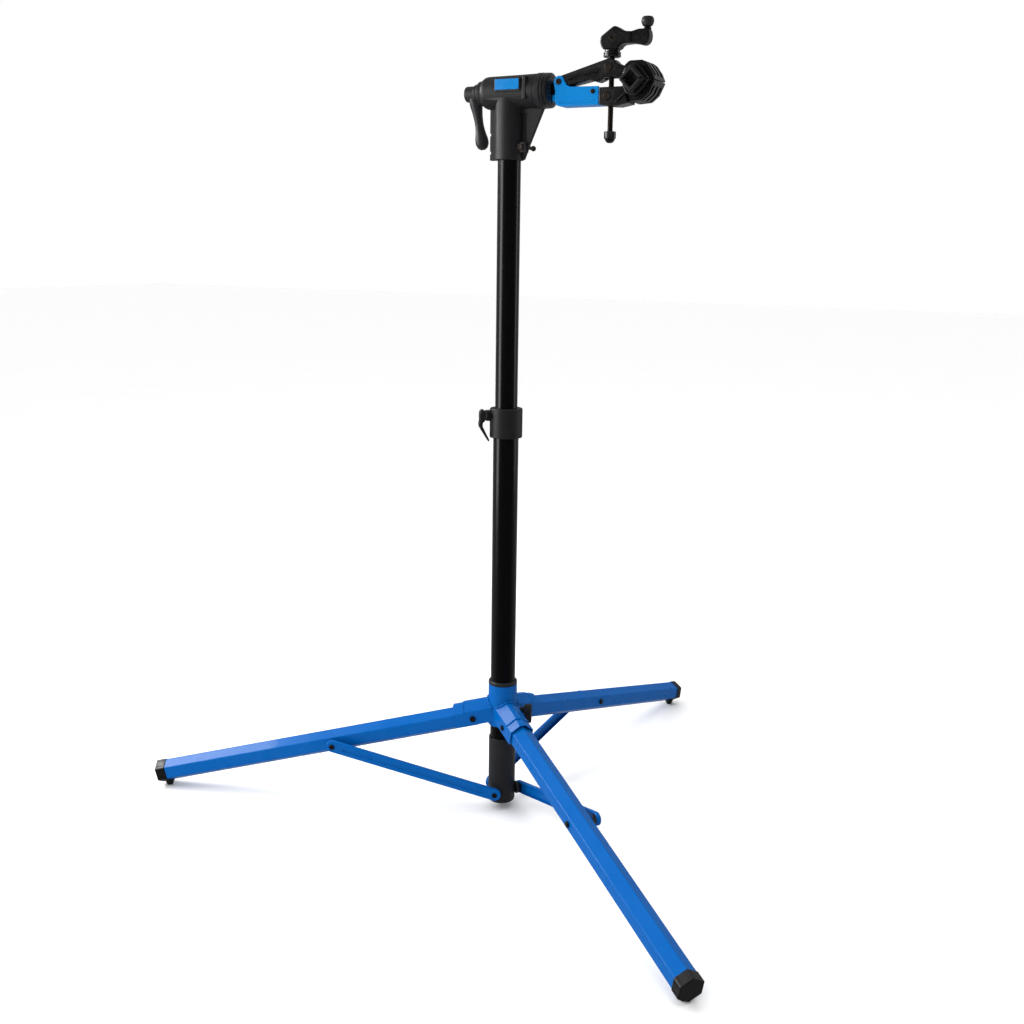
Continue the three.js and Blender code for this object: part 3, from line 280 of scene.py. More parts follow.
def printed_label():
    """Printed polyester label: flat bright blue under a clear film."""
    return surface("printed_polyester_label", colours().arm, 0.30, 0.4, coat=0.3, grain_mm=2.0,
                   grain_depth_mm=0.003, mottle=0.03)


STEEL = ("black_steel", black_oxide)
BLUE = ("blue_enamel", powder_coat)
CASTING = ("cast_black", cast_enamel)
NYLON = ("moulded_plastic", moulded_nylon)
SATIN = ("moulded_plastic", satin_nylon)
FINISHES = {}


def finish_of(make):
    """Each finish is made once and shared."""
    if make.__name__ not in FINISHES:
        FINISHES[make.__name__] = make()
    return FINISHES[make.__name__]


# ---------------------------------------------------------------- modelling
def pick(*pieces):
    """Selects just these objects, the last one active."""
    bpy.ops.object.select_all(action="DESELECT")
    for piece in pieces:
        piece.select_set(True)
        bpy.context.view_layer.objects.active = piece


def in_edit(piece, *steps):
    """Runs mesh operators on everything in a piece."""
    pick(piece)
    bpy.ops.object.mode_set(mode="EDIT")
    bpy.ops.mesh.select_all(action="SELECT")
    for operator, settings in steps:
        operator(**settings)
    bpy.ops.object.mode_set(mode="OBJECT")
    return piece


def outward(piece):
    """Merges doubles and turns every face outwards."""
    return in_edit(
        piece,
        (bpy.ops.mesh.remove_doubles, {"threshold": 0.01 * MM}),
        (bpy.ops.mesh.dissolve_degenerate, {"threshold": 0.001 * MM}),
        (bpy.ops.mesh.normals_make_consistent, {"inside": False}))


def loop_of(points, filled):
    """A closed outline as a new mesh: a circle of that many corners with each corner at its place."""
    bpy.ops.object.select_all(action="DESELECT")
    bpy.ops.mesh.primitive_circle_add(
        vertices=len(points), radius=0.01, fill_type="NGON" if filled else "NOTHING")
    piece = bpy.context.object
    for corner, point in zip(piece.data.vertices, points):
        corner.co = Vector(point) * MM
    return piece


def prism(outline, start, end, axis="Y"):
    """A solid with this outline, pulled from start to end along an axis."""
    def placed(a, b):
        return {"X": (start, a, b), "Y": (a, start, b), "Z": (a, b, start)}[axis]
    piece = loop_of([placed(a, b) for a, b in outline], True)
    pull = {"X": (1, 0, 0), "Y": (0, 1, 0), "Z": (0, 0, 1)}[axis]
    in_edit(piece, (bpy.ops.mesh.extrude_region_move, {
        "TRANSFORM_OT_translate": {"value": Vector(pull) * (end - start) * MM}}))
    return outward(piece)


def turned(profile, centre=(0, 0, 0), axis="Z", steps=64):
    """A closed [radius, height] profile spun round an axis through centre."""
    centre = Vector(centre)
    along, out = {
        "X": (Vector((1, 0, 0)), Vector((0, 0, 1))),
        "Y": (Vector((0, 1, 0)), Vector((1, 0, 0))),
        "Z": (Vector((0, 0, 1)), Vector((1, 0, 0))),
    }[axis]
    piece = loop_of([centre + along * h + out * r for r, h in profile], False)
    in_edit(piece, (bpy.ops.mesh.spin, {
        "steps": steps, "angle": math.tau, "center": centre * MM, "axis": along}))
    return outward(piece)


def rod(radius, start, end, centre=(0, 0, 0), axis="Z", round_by=0.4, steps=32):
    """A round bar with softened ends, from start to end along an axis."""
    k = min(round_by, radius * 0.45, abs(end - start) * 0.45)
    return turned([(0, start), (radius - k, start), (radius - k * 0.3, start + k * 0.3),
                   (radius, start + k), (radius, end - k), (radius - k * 0.3, end - k * 0.3),
                   (radius - k, end), (0, end)], centre, axis, steps)


def modify(piece, kind, **settings):
    """Adds a modifier and applies it."""
    pick(piece)
    modifier = piece.modifiers.new(kind.lower(), kind)
    for key, value in settings.items():
        setattr(modifier, key, value)
    bpy.ops.object.modifier_apply(modifier=modifier.name)
    return piece


def combine(piece, others, operation):
    for other in others:
        modify(piece, "BOOLEAN", object=other, operation=operation, solver="EXACT")
        bpy.data.objects.remove(other, do_unlink=True)
    return piece


def joined(piece, *others):
    return combine(piece, others, "UNION")


def cut(piece, *others):
    return combine(piece, others, "DIFFERENCE")


def kept(piece, *others):
    return combine(piece, others, "INTERSECT")


def softened(piece, width, segments=3, angle=30):
    """Rounds the edges sharper than an angle, by a radius in millimetres."""
    return outward(modify(piece, "BEVEL", width=width * MM, segments=segments, limit_method="ANGLE",
                          angle_limit=math.radians(angle), use_clamp_overlap=True, miter_outer="MITER_ARC"))


def moved(piece, matrix):
    """Places a piece by a matrix and puts its place in its mesh."""
    pick(piece)
    piece.matrix_world = matrix
    bpy.ops.object.transform_apply(location=True, rotation=True, scale=True)
    return piece


def spun(piece, degrees, centre=(0, 0, 0), axis="Z"):
    """Turns a piece about an axis through a centre, in millimetres."""
    to = Matrix.Translation(Vector(centre) * MM)
    return moved(piece, to @ Matrix.Rotation(math.radians(degrees), 4, axis) @ to.inverted())


def copied(piece):
    """A copy with its own mesh."""
    twin = piece.copy()
    twin.data = piece.data.copy()
    bpy.context.collection.objects.link(twin)
    return twin


def done(piece, name, body, slot, finish, *nodes, smooth=35):
    """Names a finished piece, gives it its finish, and puts it on its body in place of its CAD nodes."""
    piece.name = name
    piece.data.name = name
    pick(piece)
    bpy.ops.object.shade_smooth_by_angle(angle=math.radians(smooth))
    modify(piece, "WEIGHTED_NORMAL", keep_sharp=True)
    piece.data.materials.clear()
    piece.data.materials.append(finish_of(finish))
    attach(piece, body)
    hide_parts(*nodes)
    return piece


def arc(centre, radius, start, end, steps=8):
    """Points on an arc, angles in degrees."""
    turns = [math.radians(start + (end - start) * i / steps) for i in range(steps + 1)]
    return [(centre[0] + radius * math.cos(t), centre[1] + radius * math.sin(t)) for t in turns]


def hexagon(side, top=90):
    return [(side * math.cos(math.radians(top + 60 * i)), side * math.sin(math.radians(top + 60 * i)))
            for i in range(6)]


def rectangle(left, right, bottom, top):
    return [(left, bottom), (right, bottom), (right, top), (left, top)]


def around(x, z, *points):
    """Points given as distances from a place."""
    return [(x + a, z + b) for a, b in points]


def ring_profile(outer, inner, bottom, top, k=0.6):
    """A ring's section with softened rims."""
    return [(inner, bottom + k * 0.5), (inner + k * 0.5, bottom), (outer - k, bottom),
            (outer - k * 0.3, bottom + k * 0.3), (outer, bottom + k), (outer, top - k),
            (outer - k * 0.3, top - k * 0.3), (outer - k, top), (inner + k * 0.5, top),
            (inner, top - k * 0.5)]


# ---------------------------------------------------------------- frames of the legs and struts
def ground_frame(side):
    return Matrix.Rotation(LEG_AZIMUTH[side], 4, "Z")


def leg_frame(side):
    """A leg's own frame: +X outward along it, +Y the side of its strut, origin at its pivot."""
    at = Matrix.Translation(Vector((LEG_PIVOT_R, 0, LEG_PIVOT_Z)) * MM)
    return ground_frame(side) @ at @ Matrix.Rotation(LEG_SLOPE, 4, "Y")


def on_each_side(master, place, name, body, slot, finish, replaced=None, smooth=35):
    """Puts a copy of a piece on the front, right and left, each with its own mesh."""
    for side in SIDES:
        nodes = [f"{side}_{replaced}"] if replaced else []
        done(moved(copied(master), place(side)), f"{side}_{name}", body.format(side=side), slot, finish,
             *nodes, smooth=smooth)
    bpy.data.objects.remove(master, do_unlink=True)


STRUT_RUN = LEG_PIVOT_R + STRUT_BOLT_AT * math.cos(LEG_SLOPE) - STRUT_PIVOT_R
STRUT_RISE = LEG_PIVOT_Z - STRUT_BOLT_AT * math.sin(LEG_SLOPE) - STRUT_PIVOT_Z
STRUT_LENGTH = math.hypot(STRUT_RUN, STRUT_RISE)


def strut_frame(side):
    """A strut's own frame: +X from its boot pivot to its leg bolt."""
    at = Matrix.Translation(Vector((STRUT_PIVOT_R, 0, STRUT_PIVOT_Z)) * MM)
    return ground_frame(side) @ at @ Matrix.Rotation(-math.atan2(STRUT_RISE, STRUT_RUN), 4, "Y")


# ---------------------------------------------------------------- operators
class PieceOperator:
    bl_options = {"REGISTER", "UNDO"}


class STAND_OT_mast(PieceOperator, bpy.types.Operator):
    """Draws both mast tubes, the boot on the lower one and the collar between them"""
    bl_idname = "stand.mast"
    bl_label = "Mast, boot and collar"

    def execute(self, context):
        steps = sizes().tube_steps
        tubes = (
            ("lower_mast", "base", MAST_R, 1.35, "lower_mast_tube"),
            ("upper_mast", "upper_tube", INNER_R, 2, "upper_mast_tube"),
        )
        for name, body, radius, wall, node_name in tubes:
            section = ring_profile(radius, radius - wall, low(node_name).z, high(node_name).z)
            done(turned(section, steps=steps), name, body, "black_enamel", mast_enamel, node_name)
        self.boot(steps)
        self.collar(steps)
        self.height_lever()
        return {"FINISHED"}

    def boot(self, steps):
        outer, top = MAST_R + 2.4, high("mast_boot").z
        floor = 6
        profile = [(0, 0), *arc((outer - 5, 5), 5, -90, 0, 8), (outer, top - 1.2),
                   *arc((outer - 1.2, top - 1.2), 1.2, 20, 90, 3), (MAST_R + FIT, top),
                   (MAST_R + FIT, floor), (0, floor)]
        boot = turned(profile, steps=steps)
        foot = (STRUT_PIVOT_R, 0, STRUT_PIVOT_Z)
        for side in SIDES:
            lug = rod(11.5, MAST_R + 1, STRUT_Y[0] - FIT, foot, "Y", 1.0, 40)
            boot = joined(boot, moved(lug, ground_frame(side)))
        for side in SIDES:
            hole = rod(4.4, MAST_R + 0.6, STRUT_Y[0] + 3, foot, "Y", 0.1)
            boot = cut(boot, moved(hole, ground_frame(side)))
        done(boot, "moulded_boot", "base", *SATIN, "mast_boot")

    def collar(self, steps):
        bottom, top = low("height_collar").z, high("height_collar").z
        lip = high("lower_mast_tube").z + FIT
        profile = [(MAST_R + FIT, bottom), (COLLAR_R - 1.6, bottom),
                   *arc((COLLAR_R - 1.6, bottom + 1.6), 1.6, -70, 0, 4),
                   *arc((COLLAR_R - 2.2, top - 2.2), 2.2, 0, 90, 6),
                   (INNER_R + FIT, top), (INNER_R + FIT, lip), (MAST_R + FIT, lip)]
        collar = turned(profile, steps=steps)
        ear = pivot("height_lever_turn")
        azimuth = azimuth_of(ear)
        reach = COLLAR_R + 9
        ears = softened(prism(rectangle(-9, 9, ear.z - 9, ear.z + 9), COLLAR_R - 5, reach, "X"), 2.5, 4)
        collar = joined(collar, spun(ears, azimuth))
        slit = prism(rectangle(-1.5, 1.5, bottom - 1, top + 1), 15, reach + 3, "X")
        pin = (reach - 5, 0, ear.z)
        skewer_hole = rod(3.3, -20, 20, pin, "Y", 0.1, 24)
        collar = cut(collar, spun(slit, azimuth), spun(skewer_hole, azimuth))
        done(collar, "split_collar", "base", *NYLON, "height_collar")

        skewer = joined(rod(3, -12, 14, pin, "Y", 0.5, 24), rod(4.5, -13.5, -9.3, pin, "Y", 1.0, 24),
                        rod(4.5, 9.3, 13.2, pin, "Y", 1.0, 6))
        done(spun(skewer, azimuth), "quick_release_skewer", "base", *STEEL, "collar_skewer")

    def height_lever(self):
        ear = pivot("height_lever_turn")
        x = COLLAR_R + 9.3
        outline = around(x, ear.z, (0, 8), (2, 10.2), (4.6, 10.9), (7.6, 9.4), (9.6, 5.5), (9.8, 0),
                         (9.4, -8), (10.9, -15.5), (10, -20), (-6, -46), (-8, -43.5), (-3, -34),
                         (4.4, -19), (4.2, -12.5), (0, -9))
        lever = softened(prism(outline, -7.8, 7.8), 1.2, 3)
        window = softened(prism(rectangle(-2.6, 2.6, ear.z - 14, ear.z - 4), x + 6, x + 14, "X"), 1.0, 2)
        done(spun(cut(lever, window), azimuth_of(ear)), "cam_lever", "height_lever", *NYLON, "height_lever")


class STAND_OT_hub(PieceOperator, bpy.types.Operator):
    """Draws the welded hub with its three hoods, its bush and its lock knob"""
    bl_idname = "stand.hub"
    bl_label = "Tripod hub"

    hood_shape = (28.6, 4.6, 14.4)
    mouth_shape = (26.4, 5.4, 13.2)

    def hood(self, shape, start, end):
        """A pressed channel with a narrow flat ridge, open below, in a leg's frame."""
        top, ridge, shoulder = shape
        wall = 2.4
        right = [(ridge, top), (HOOD_HALF, shoulder), (HOOD_HALF, -12.6), (HOOD_HALF - wall, -12.6),
                 (HOOD_HALF - wall, shoulder - 1.6), (ridge - 0.6, top - wall)]
        outline = right + [(-y, z) for y, z in reversed(right)]
        return softened(prism(outline, start, end, "X"), 1.0, 4)

    def execute(self, context):
        steps = sizes().tube_steps
        outer = high("hub_upper_bush").x
        inner = outer - 2.2
        bottom, top = 154, 233
        edge = outer - 0.8
        hub = turned([(0, bottom), (edge, bottom), *arc((edge, bottom + 0.8), 0.8, -60, 0, 2),
                      *arc((edge, top - 0.8), 0.8, 0, 60, 2), (edge, top), (0, top)], steps=steps)
        hood = self.hood(self.hood_shape, outer / 2 - LEG_PIVOT_R, 14)
        mouth = self.hood(self.mouth_shape, 13, 35)
        for channel in (hood, mouth):
            for side in SIDES:
                hub = joined(hub, moved(copied(channel), leg_frame(side)))
            bpy.data.objects.remove(channel, do_unlink=True)
        lock = pivot("hub_lock_turn")
        azimuth = azimuth_of(lock)
        hub = joined(hub, spun(rod(8, outer - 4, outer + 6, (0, 0, lock.z), "X", 1.0), azimuth))
        hub = cut(hub, rod(inner, bottom - 40, top + 40, steps=96, round_by=0.1))
        hub = cut(hub, spun(rod(4.3, 5, outer + 12, (0, 0, lock.z), "X", 0.1, 24), azimuth))
        for side in SIDES:
            hub = cut(hub, moved(rod(4.3, -40, 40, (0, 0, 0), "Y", 0.1, 24), leg_frame(side)))
        done(hub, "welded_hub", "hub", *BLUE, "hub_bracket")
        on_each_side(self.weld(outer), leg_frame, "weld_beads", "hub", *BLUE, smooth=60)

        rim = low("hub_upper_bush").z, high("hub_upper_bush").z
        bore = MAST_R + FIT
        bush = turned([(bore, rim[0]), (inner - FIT, rim[0]), (inner - FIT, top + FIT),
                       (outer - 0.6, top + FIT), *arc((outer - 0.6, top + 0.9), 0.6, -60, 0, 2),
                       *arc((outer - 2.4, rim[1] - 2.4), 2.4, 0, 80, 6), (bore, rim[1])], steps=steps)
        done(bush, "flanged_bush", "hub", *SATIN, "hub_upper_bush")
        self.lock_knob(lock, azimuth)
        return {"FINISHED"}

    def roof(self, y, shape):
        """Height of a hood's roof at a distance from its middle."""
        top, ridge, shoulder = shape
        if abs(y) <= ridge:
            return top
        return top - (top - shoulder) * (abs(y) - ridge) / (HOOD_HALF - ridge)

    def weld(self, outer):
        """Two lumpy beads: one where the hood meets the sleeve, one where its mouth is welded on."""
        spots = []
        for i in range(19):
            y = (i - 9) * 2.3
            z = self.roof(y, self.hood_shape)
            reach = math.sqrt(outer ** 2 - y ** 2)
            run = (reach - LEG_PIVOT_R - z * math.sin(LEG_SLOPE)) / math.cos(LEG_SLOPE)
            spots.append((run + 0.9, y, z + 0.4, 2.4 + 0.5 * (i % 3 == 1)))
        for i in range(21):
            y = (i - 10) * 2.1
            spots.append((14.3, y, self.roof(y, self.mouth_shape) + 0.3, 1.7 + 0.35 * (i % 2)))
        bead = None
        for x, y, z, radius in spots:
            bpy.ops.object.select_all(action="DESELECT")
            bpy.ops.mesh.primitive_uv_sphere_add(segments=14, ring_count=8, radius=radius * MM)
            drop = moved(bpy.context.object, Matrix.Translation(Vector((x, y, z)) * MM))
            bead = drop if bead is None else joined(bead, drop)
        return bead

    def lock_knob(self, lock, azimuth):
        start = math.hypot(lock.x, lock.y) - 3.5
        z = lock.z
        at = (0, 0, z)
        outline = [*arc((0, z), 12, -25, 205, 20), (-5.5, z - 20), *arc((0, z - 22), 3, 200, 340, 6),
                   (5.5, z - 20)]
        knob = softened(prism(outline, start, start + 13, "X"), 2.0, 4)
        boss = rod(7, start - 4.4, start + 1, at, "X", 0.8)
        dimple = rod(4.5, start + 11.6, start + 15, at, "X", 0.5)
        knob = cut(joined(knob, boss), dimple, rod(4.3, start - 6, start + 8.3, at, "X", 0.1, 24))
        done(spun(knob, azimuth), "wing_knob", "hub_lock", *NYLON, "hub_lock_knob")


class STAND_OT_legs(PieceOperator, bpy.types.Operator):
    """Draws the three legs, their foot caps and their bolts"""
    bl_idname = "stand.legs"
    bl_label = "Legs and feet"

    def leg(self):
        """Hexagonal tube with rounded corners; its inner end is turned about the pivot."""
        corner = sizes().leg_corner / MM
        tube = prism(hexagon(LEG_SIDE), -LEG_SIDE, LEG_LENGTH, "X")
        tube = modify(tube, "BEVEL", width=corner * MM, segments=6, limit_method="ANGLE",
                      angle_limit=math.radians(40), use_clamp_overlap=True)
        flat = LEG_FLAT + 1
        shoulder = LEG_SIDE / 2 - 0.6
        nose = turned([(0, -flat), (shoulder, -flat), (LEG_SIDE, 0), (shoulder, flat), (0, flat)],
                      axis="Y", steps=48)
        far = LEG_LENGTH + 10
        nose = joined(nose, prism(rectangle(-40, 40, -40, 40), 0, far, "X"))
        tube = kept(tube, nose)
        tube = cut(tube, prism(hexagon(LEG_SIDE - 1.8), -60, far, "X"))
        for x in (0, STRUT_BOLT_AT):
            tube = cut(tube, rod(4.3, -40, 40, (x, 0, 0), "Y", 0.1, 24))
        return tube

    def cap(self):
        """Rubber cup with a ribbed rim and a nub that stands on the floor."""
        side = LEG_SIDE + 1.4
        end = LEG_LENGTH + 3
        cup = softened(prism(hexagon(side), CAP_START, end, "X"), 1.8, 4)
        drop = -CAP_START * math.sin(LEG_SLOPE)
        ground = FLOOR_Z - LEG_PIVOT_Z
        nub = turned([(0, ground), *arc((4.4, ground + 2.0), 2.0, -90, -20, 4), (10, drop - LEG_SIDE + 3),
                      (10, drop - LEG_SIDE / 2), (0, drop - LEG_SIDE / 2)],
                     (CAP_START * math.cos(LEG_SLOPE), 0, 0), steps=32)
        nub = spun(nub, -math.degrees(LEG_SLOPE), axis="Y")
        rim = softened(prism(hexagon(side - 2.6), end - 0.4, end + 5, "X"), 0.3, 2)
        room = prism(hexagon(LEG_SIDE + FIT), CAP_START - 40, LEG_LENGTH + FIT, "X")
        cup = cut(joined(cup, nub), room, rim)
        flat = across(side)
        for facet in range(6):
            for y in (-6.5, 6.5):
                groove = prism([(y - 0.8, flat - 0.7), (y + 0.8, flat - 0.7), (y + 1.2, flat + 1),
                                (y - 1.2, flat + 1)], CAP_START + 2, end - 3, "X")
                cup = cut(cup, spun(groove, 30 + 60 * facet, axis="X"))
        return cup

    def pivot_bolt(self):
        head = across(25.2) + FIT
        bolt = joined(rod(4, -head - 0.5, head + 0.5, axis="Y"),
                      rod(5.2, -head - 3.5, -head, axis="Y", round_by=1.4),
                      rod(6, head, head + 3.5, axis="Y", round_by=0.6, steps=6))
        return cut(bolt, prism(hexagon(2.2), -head - 4, -head - 1.5, "Y"))

    def strut_bolt(self):
        at = (STRUT_BOLT_AT, 0, 0)
        return joined(rod(4, -LEG_FLAT - 1, LEG_FLAT + 1, at, "Y"),
                      rod(5.5, -LEG_FLAT - 4, -LEG_FLAT - FIT, at, "Y", 1.8),
                      rod(8.6, LEG_FLAT + FIT, STRUT_Y[0] - FIT, at, "Y", 0.8))

    def execute(self, context):
        pieces = (
            (self.leg, "hex_leg", "leg", *BLUE),
            (self.cap, "rubber_foot", "foot_cap", "foot_rubber", moulded_rubber),
            (self.pivot_bolt, "pivot_bolt", "leg_pivot_bolt", *STEEL),
            (self.strut_bolt, "brace_bolt", "leg_strut_bolt", *STEEL),
        )
        for make, name, node_name, slot, finish in pieces:
            on_each_side(make(), leg_frame, name, "{side}_leg", slot, finish, node_name)
        return {"FINISHED"}


class STAND_OT_struts(PieceOperator, bpy.types.Operator):
    """Draws the three pressed struts, their rivets and their bolts at the boot"""
    bl_idname = "stand.struts"
    bl_label = "Struts"

    def stadium(self, inset, radius):
        """An outline with round ends, its ends' centres set in from the strut's two pivots."""
        steps = 14 if inset == 0 else 8
        return [*arc((inset, 0), radius, 90, 270, steps),
                *arc((STRUT_LENGTH - inset, 0), radius, -90, 90, steps)]

    def channel(self):
        half = 11.5
        back, front = STRUT_Y
        strut = softened(prism(self.stadium(0, half), back, front), 2.2, 4)
        strut = cut(strut, softened(prism(self.stadium(0, half - 2), back - 2, front - 2.2), 0.6, 2))
        strut = cut(strut, softened(prism(self.stadium(24, 3.6), front - 1.4, front + 4), 1.2, 3))
        for x in (0, STRUT_LENGTH):
            strut = cut(strut, rod(4.3, back - 5, front + 5, (x, 0, 0), "Y", 0.1, 24))
        return strut

    def rivet(self):
        front, at = STRUT_Y[1], (STRUT_LENGTH, 0, 0)
        web = front - 2
        return joined(rod(4, web - 4, front + 0.5, at, "Y"), rod(8.6, web - 5.2, web - FIT, at, "Y", 0.8),
                      rod(5.0, front + FIT, front + 3.2, at, "Y", 1.6))

    def boot_bolt(self):
        front, at = STRUT_Y[1], (STRUT_PIVOT_R, 0, STRUT_PIVOT_Z)
        bolt = joined(rod(4, MAST_R + 1.2, front + 0.5, at, "Y"),
                      rod(4.9, front + FIT, front + 2.4, at, "Y", 1.2))
        return cut(bolt, prism(around(at[0], at[2], *hexagon(2.2)), front + 1, front + 4))

    def execute(self, context):
        pieces = (
            (self.channel, "pressed_strut", "strut", "{side}_strut", *BLUE, strut_frame),
            (self.rivet, "strut_stud", "strut_rivet", "{side}_strut", *STEEL, strut_frame),
            (self.boot_bolt, "boot_screw", "boot_bolt", "base", *STEEL, ground_frame),
        )
        for make, name, node_name, body, slot, finish, place in pieces:
            on_each_side(make(), place, name, body, slot, finish, node_name)
        return {"FINISHED"}


class STAND_OT_head(PieceOperator, bpy.types.Operator):
    """Draws the moulded head, its label, its pinch screw and its lock lever"""
    bl_idname = "stand.head"
    bl_label = "Head and lock lever"

    def housing(self):
        z, left, right = BARREL_Z, BARREL_LEFT, BARREL_RIGHT
        shell = turned([(0, left), (21.5, left), (23.6, left + 1.4), (25.6, left + 5), (26.4, left + 9),
                        (27.0, 20), (27.5, 50), (27.5, 52.6), (27.0, 53.2), (27.0, 54.6), (28.4, 55.6),
                        (28.4, right - 2.2), (27.6, right - 0.8), (26.4, right), (0, right)],
                       BARREL, "X", 96)
        bottom = SLEEVE_BOTTOM
        sleeve = turned([(0, bottom), (23.2, bottom), *arc((23.2, bottom + 1.8), 1.8, -80, 0, 5),
                         (25, z - 6), (0, z - 6)], steps=96)
        rib = softened(prism(rectangle(-36, -20, bottom, z - 18), -4, 4), 1.6, 3)
        gusset = softened(prism([(20, bottom + 0.4), (29, bottom + 0.4), (39, bottom + 25), (66, z - 24),
                                 (66, z - 18.5), (20, z - 18.5)], -3.5, 3.5), 1.2, 3)
        ears = softened(prism(rectangle(-8, 8, PINCH.z - 9, PINCH.z + 9), 21, 34, "X"), 2.0, 3)
        pad = softened(prism(rectangle(-15, 33, z - 2, z + 20), -29.1, -10), 1.4, 3)
        strap = softened(prism(rectangle(36, 42.5, z - 14, z + 22), -28.3, -10), 1.0, 3)
        head = joined(shell, sleeve, rib, gusset, spun(ears, SLIT_AZIMUTH), pad, strap)
        notches = [prism(rectangle(-40, -33.5, h - 2.2, h + 2.2), -6, 6) for h in (1208.4, 1179.1)]
        bore = rod(INNER_R + FIT, bottom - 2, high("upper_mast_tube").z + FIT, steps=96, round_by=0.1)
        shaft = rod(17.3, left - 2, right + 2, BARREL, "X", 0.1, 64)
        slit = prism(rectangle(-1.5, 1.5, bottom - 1, z - 34.5), 5, 37, "X")
        hole = rod(3.3, -20, 20, PINCH, "Y", 0.1, 24)
        return cut(head, *notches, bore, shaft, spun(slit, SLIT_AZIMUTH), spun(hole, SLIT_AZIMUTH))

    def label(self):
        lo, hi = low("head_badge"), high("head_badge")
        return softened(prism(rectangle(lo.x, hi.x, lo.z, hi.z), lo.y, hi.y), 0.35, 2)

    def lock(self):
        z = BARREL_Z
        left = low("clamp_lock_lever").x
        hub = turned([(0, left), (11, left), (12.4, left + 0.9), (13, left + 2.6), (13, left + 18),
                      (0, left + 18)], BARREL, "X", 64)
        grip = turned([(0, 0), (4.6, 0.7), (8.3, 3.6), (10.8, 8.8), (11.4, 13.5), (10.9, 19), (9.6, 25),
                       (8.3, 31.5), (7.5, 39), (7.4, 46), (7.9, 55), (9.0, 64), (10.6, 73), (11, 80),
                       (11, 91), (0, 91)], steps=48)
        grip = moved(grip, Matrix.Translation(Vector((left + 32.5, 0, z - 91)) * MM)
                     @ Matrix.Rotation(math.radians(-11), 4, "Y"))
        top = prism(rectangle(-120, 0, z - 2, z + 60), -40, 40)
        clear = rod(16, left + 18, 0, BARREL, "X", 0.1, 48)
        spacer = rod(21, BARREL_LEFT - 9.3, 0, BARREL, "X", 0.1, 48)
        lever = joined(hub, cut(grip, top, clear, spacer))
        return cut(lever, rod(6.3, left + 6, 0, BARREL, "X", 0.1, 32))

    def execute(self, context):
        done(self.housing(), "moulded_head", "head", *NYLON, "head_housing")
        done(self.label(), "plain_label", "head", "badge", printed_label, "head_badge")
        pinch = joined(rod(3, -12.5, 27.2, PINCH, "Y"), rod(4.5, 27, 32, PINCH, "Y", 1.4))
        done(spun(pinch, SLIT_AZIMUTH), "pinch_screw", "pinch_screw", *STEEL,
             "head_pinch_screw")
        nut = softened(rod(5, -14, -8.3, PINCH, "Y", 0.2, 6), 0.7, 2)
        nut = cut(nut, rod(3.3, -20, 0, PINCH, "Y", 0.1, 24))
        done(spun(nut, SLIT_AZIMUTH), "pinch_nut", "head", *STEEL, "head_pinch_nut")
        for name, outer in (("lock_spacer", 20), ("lock_washer", 15.5)):
            ring = turned(ring_profile(outer, 6.3, low(name).x, high(name).x, 1.6), BARREL, "X", 64)
            done(ring, f"moulded_{name}", "head", *NYLON, name)
        done(self.lock(), "grip_lever", "lock_lever", *SATIN, "clamp_lock_lever")
        return {"FINISHED"}


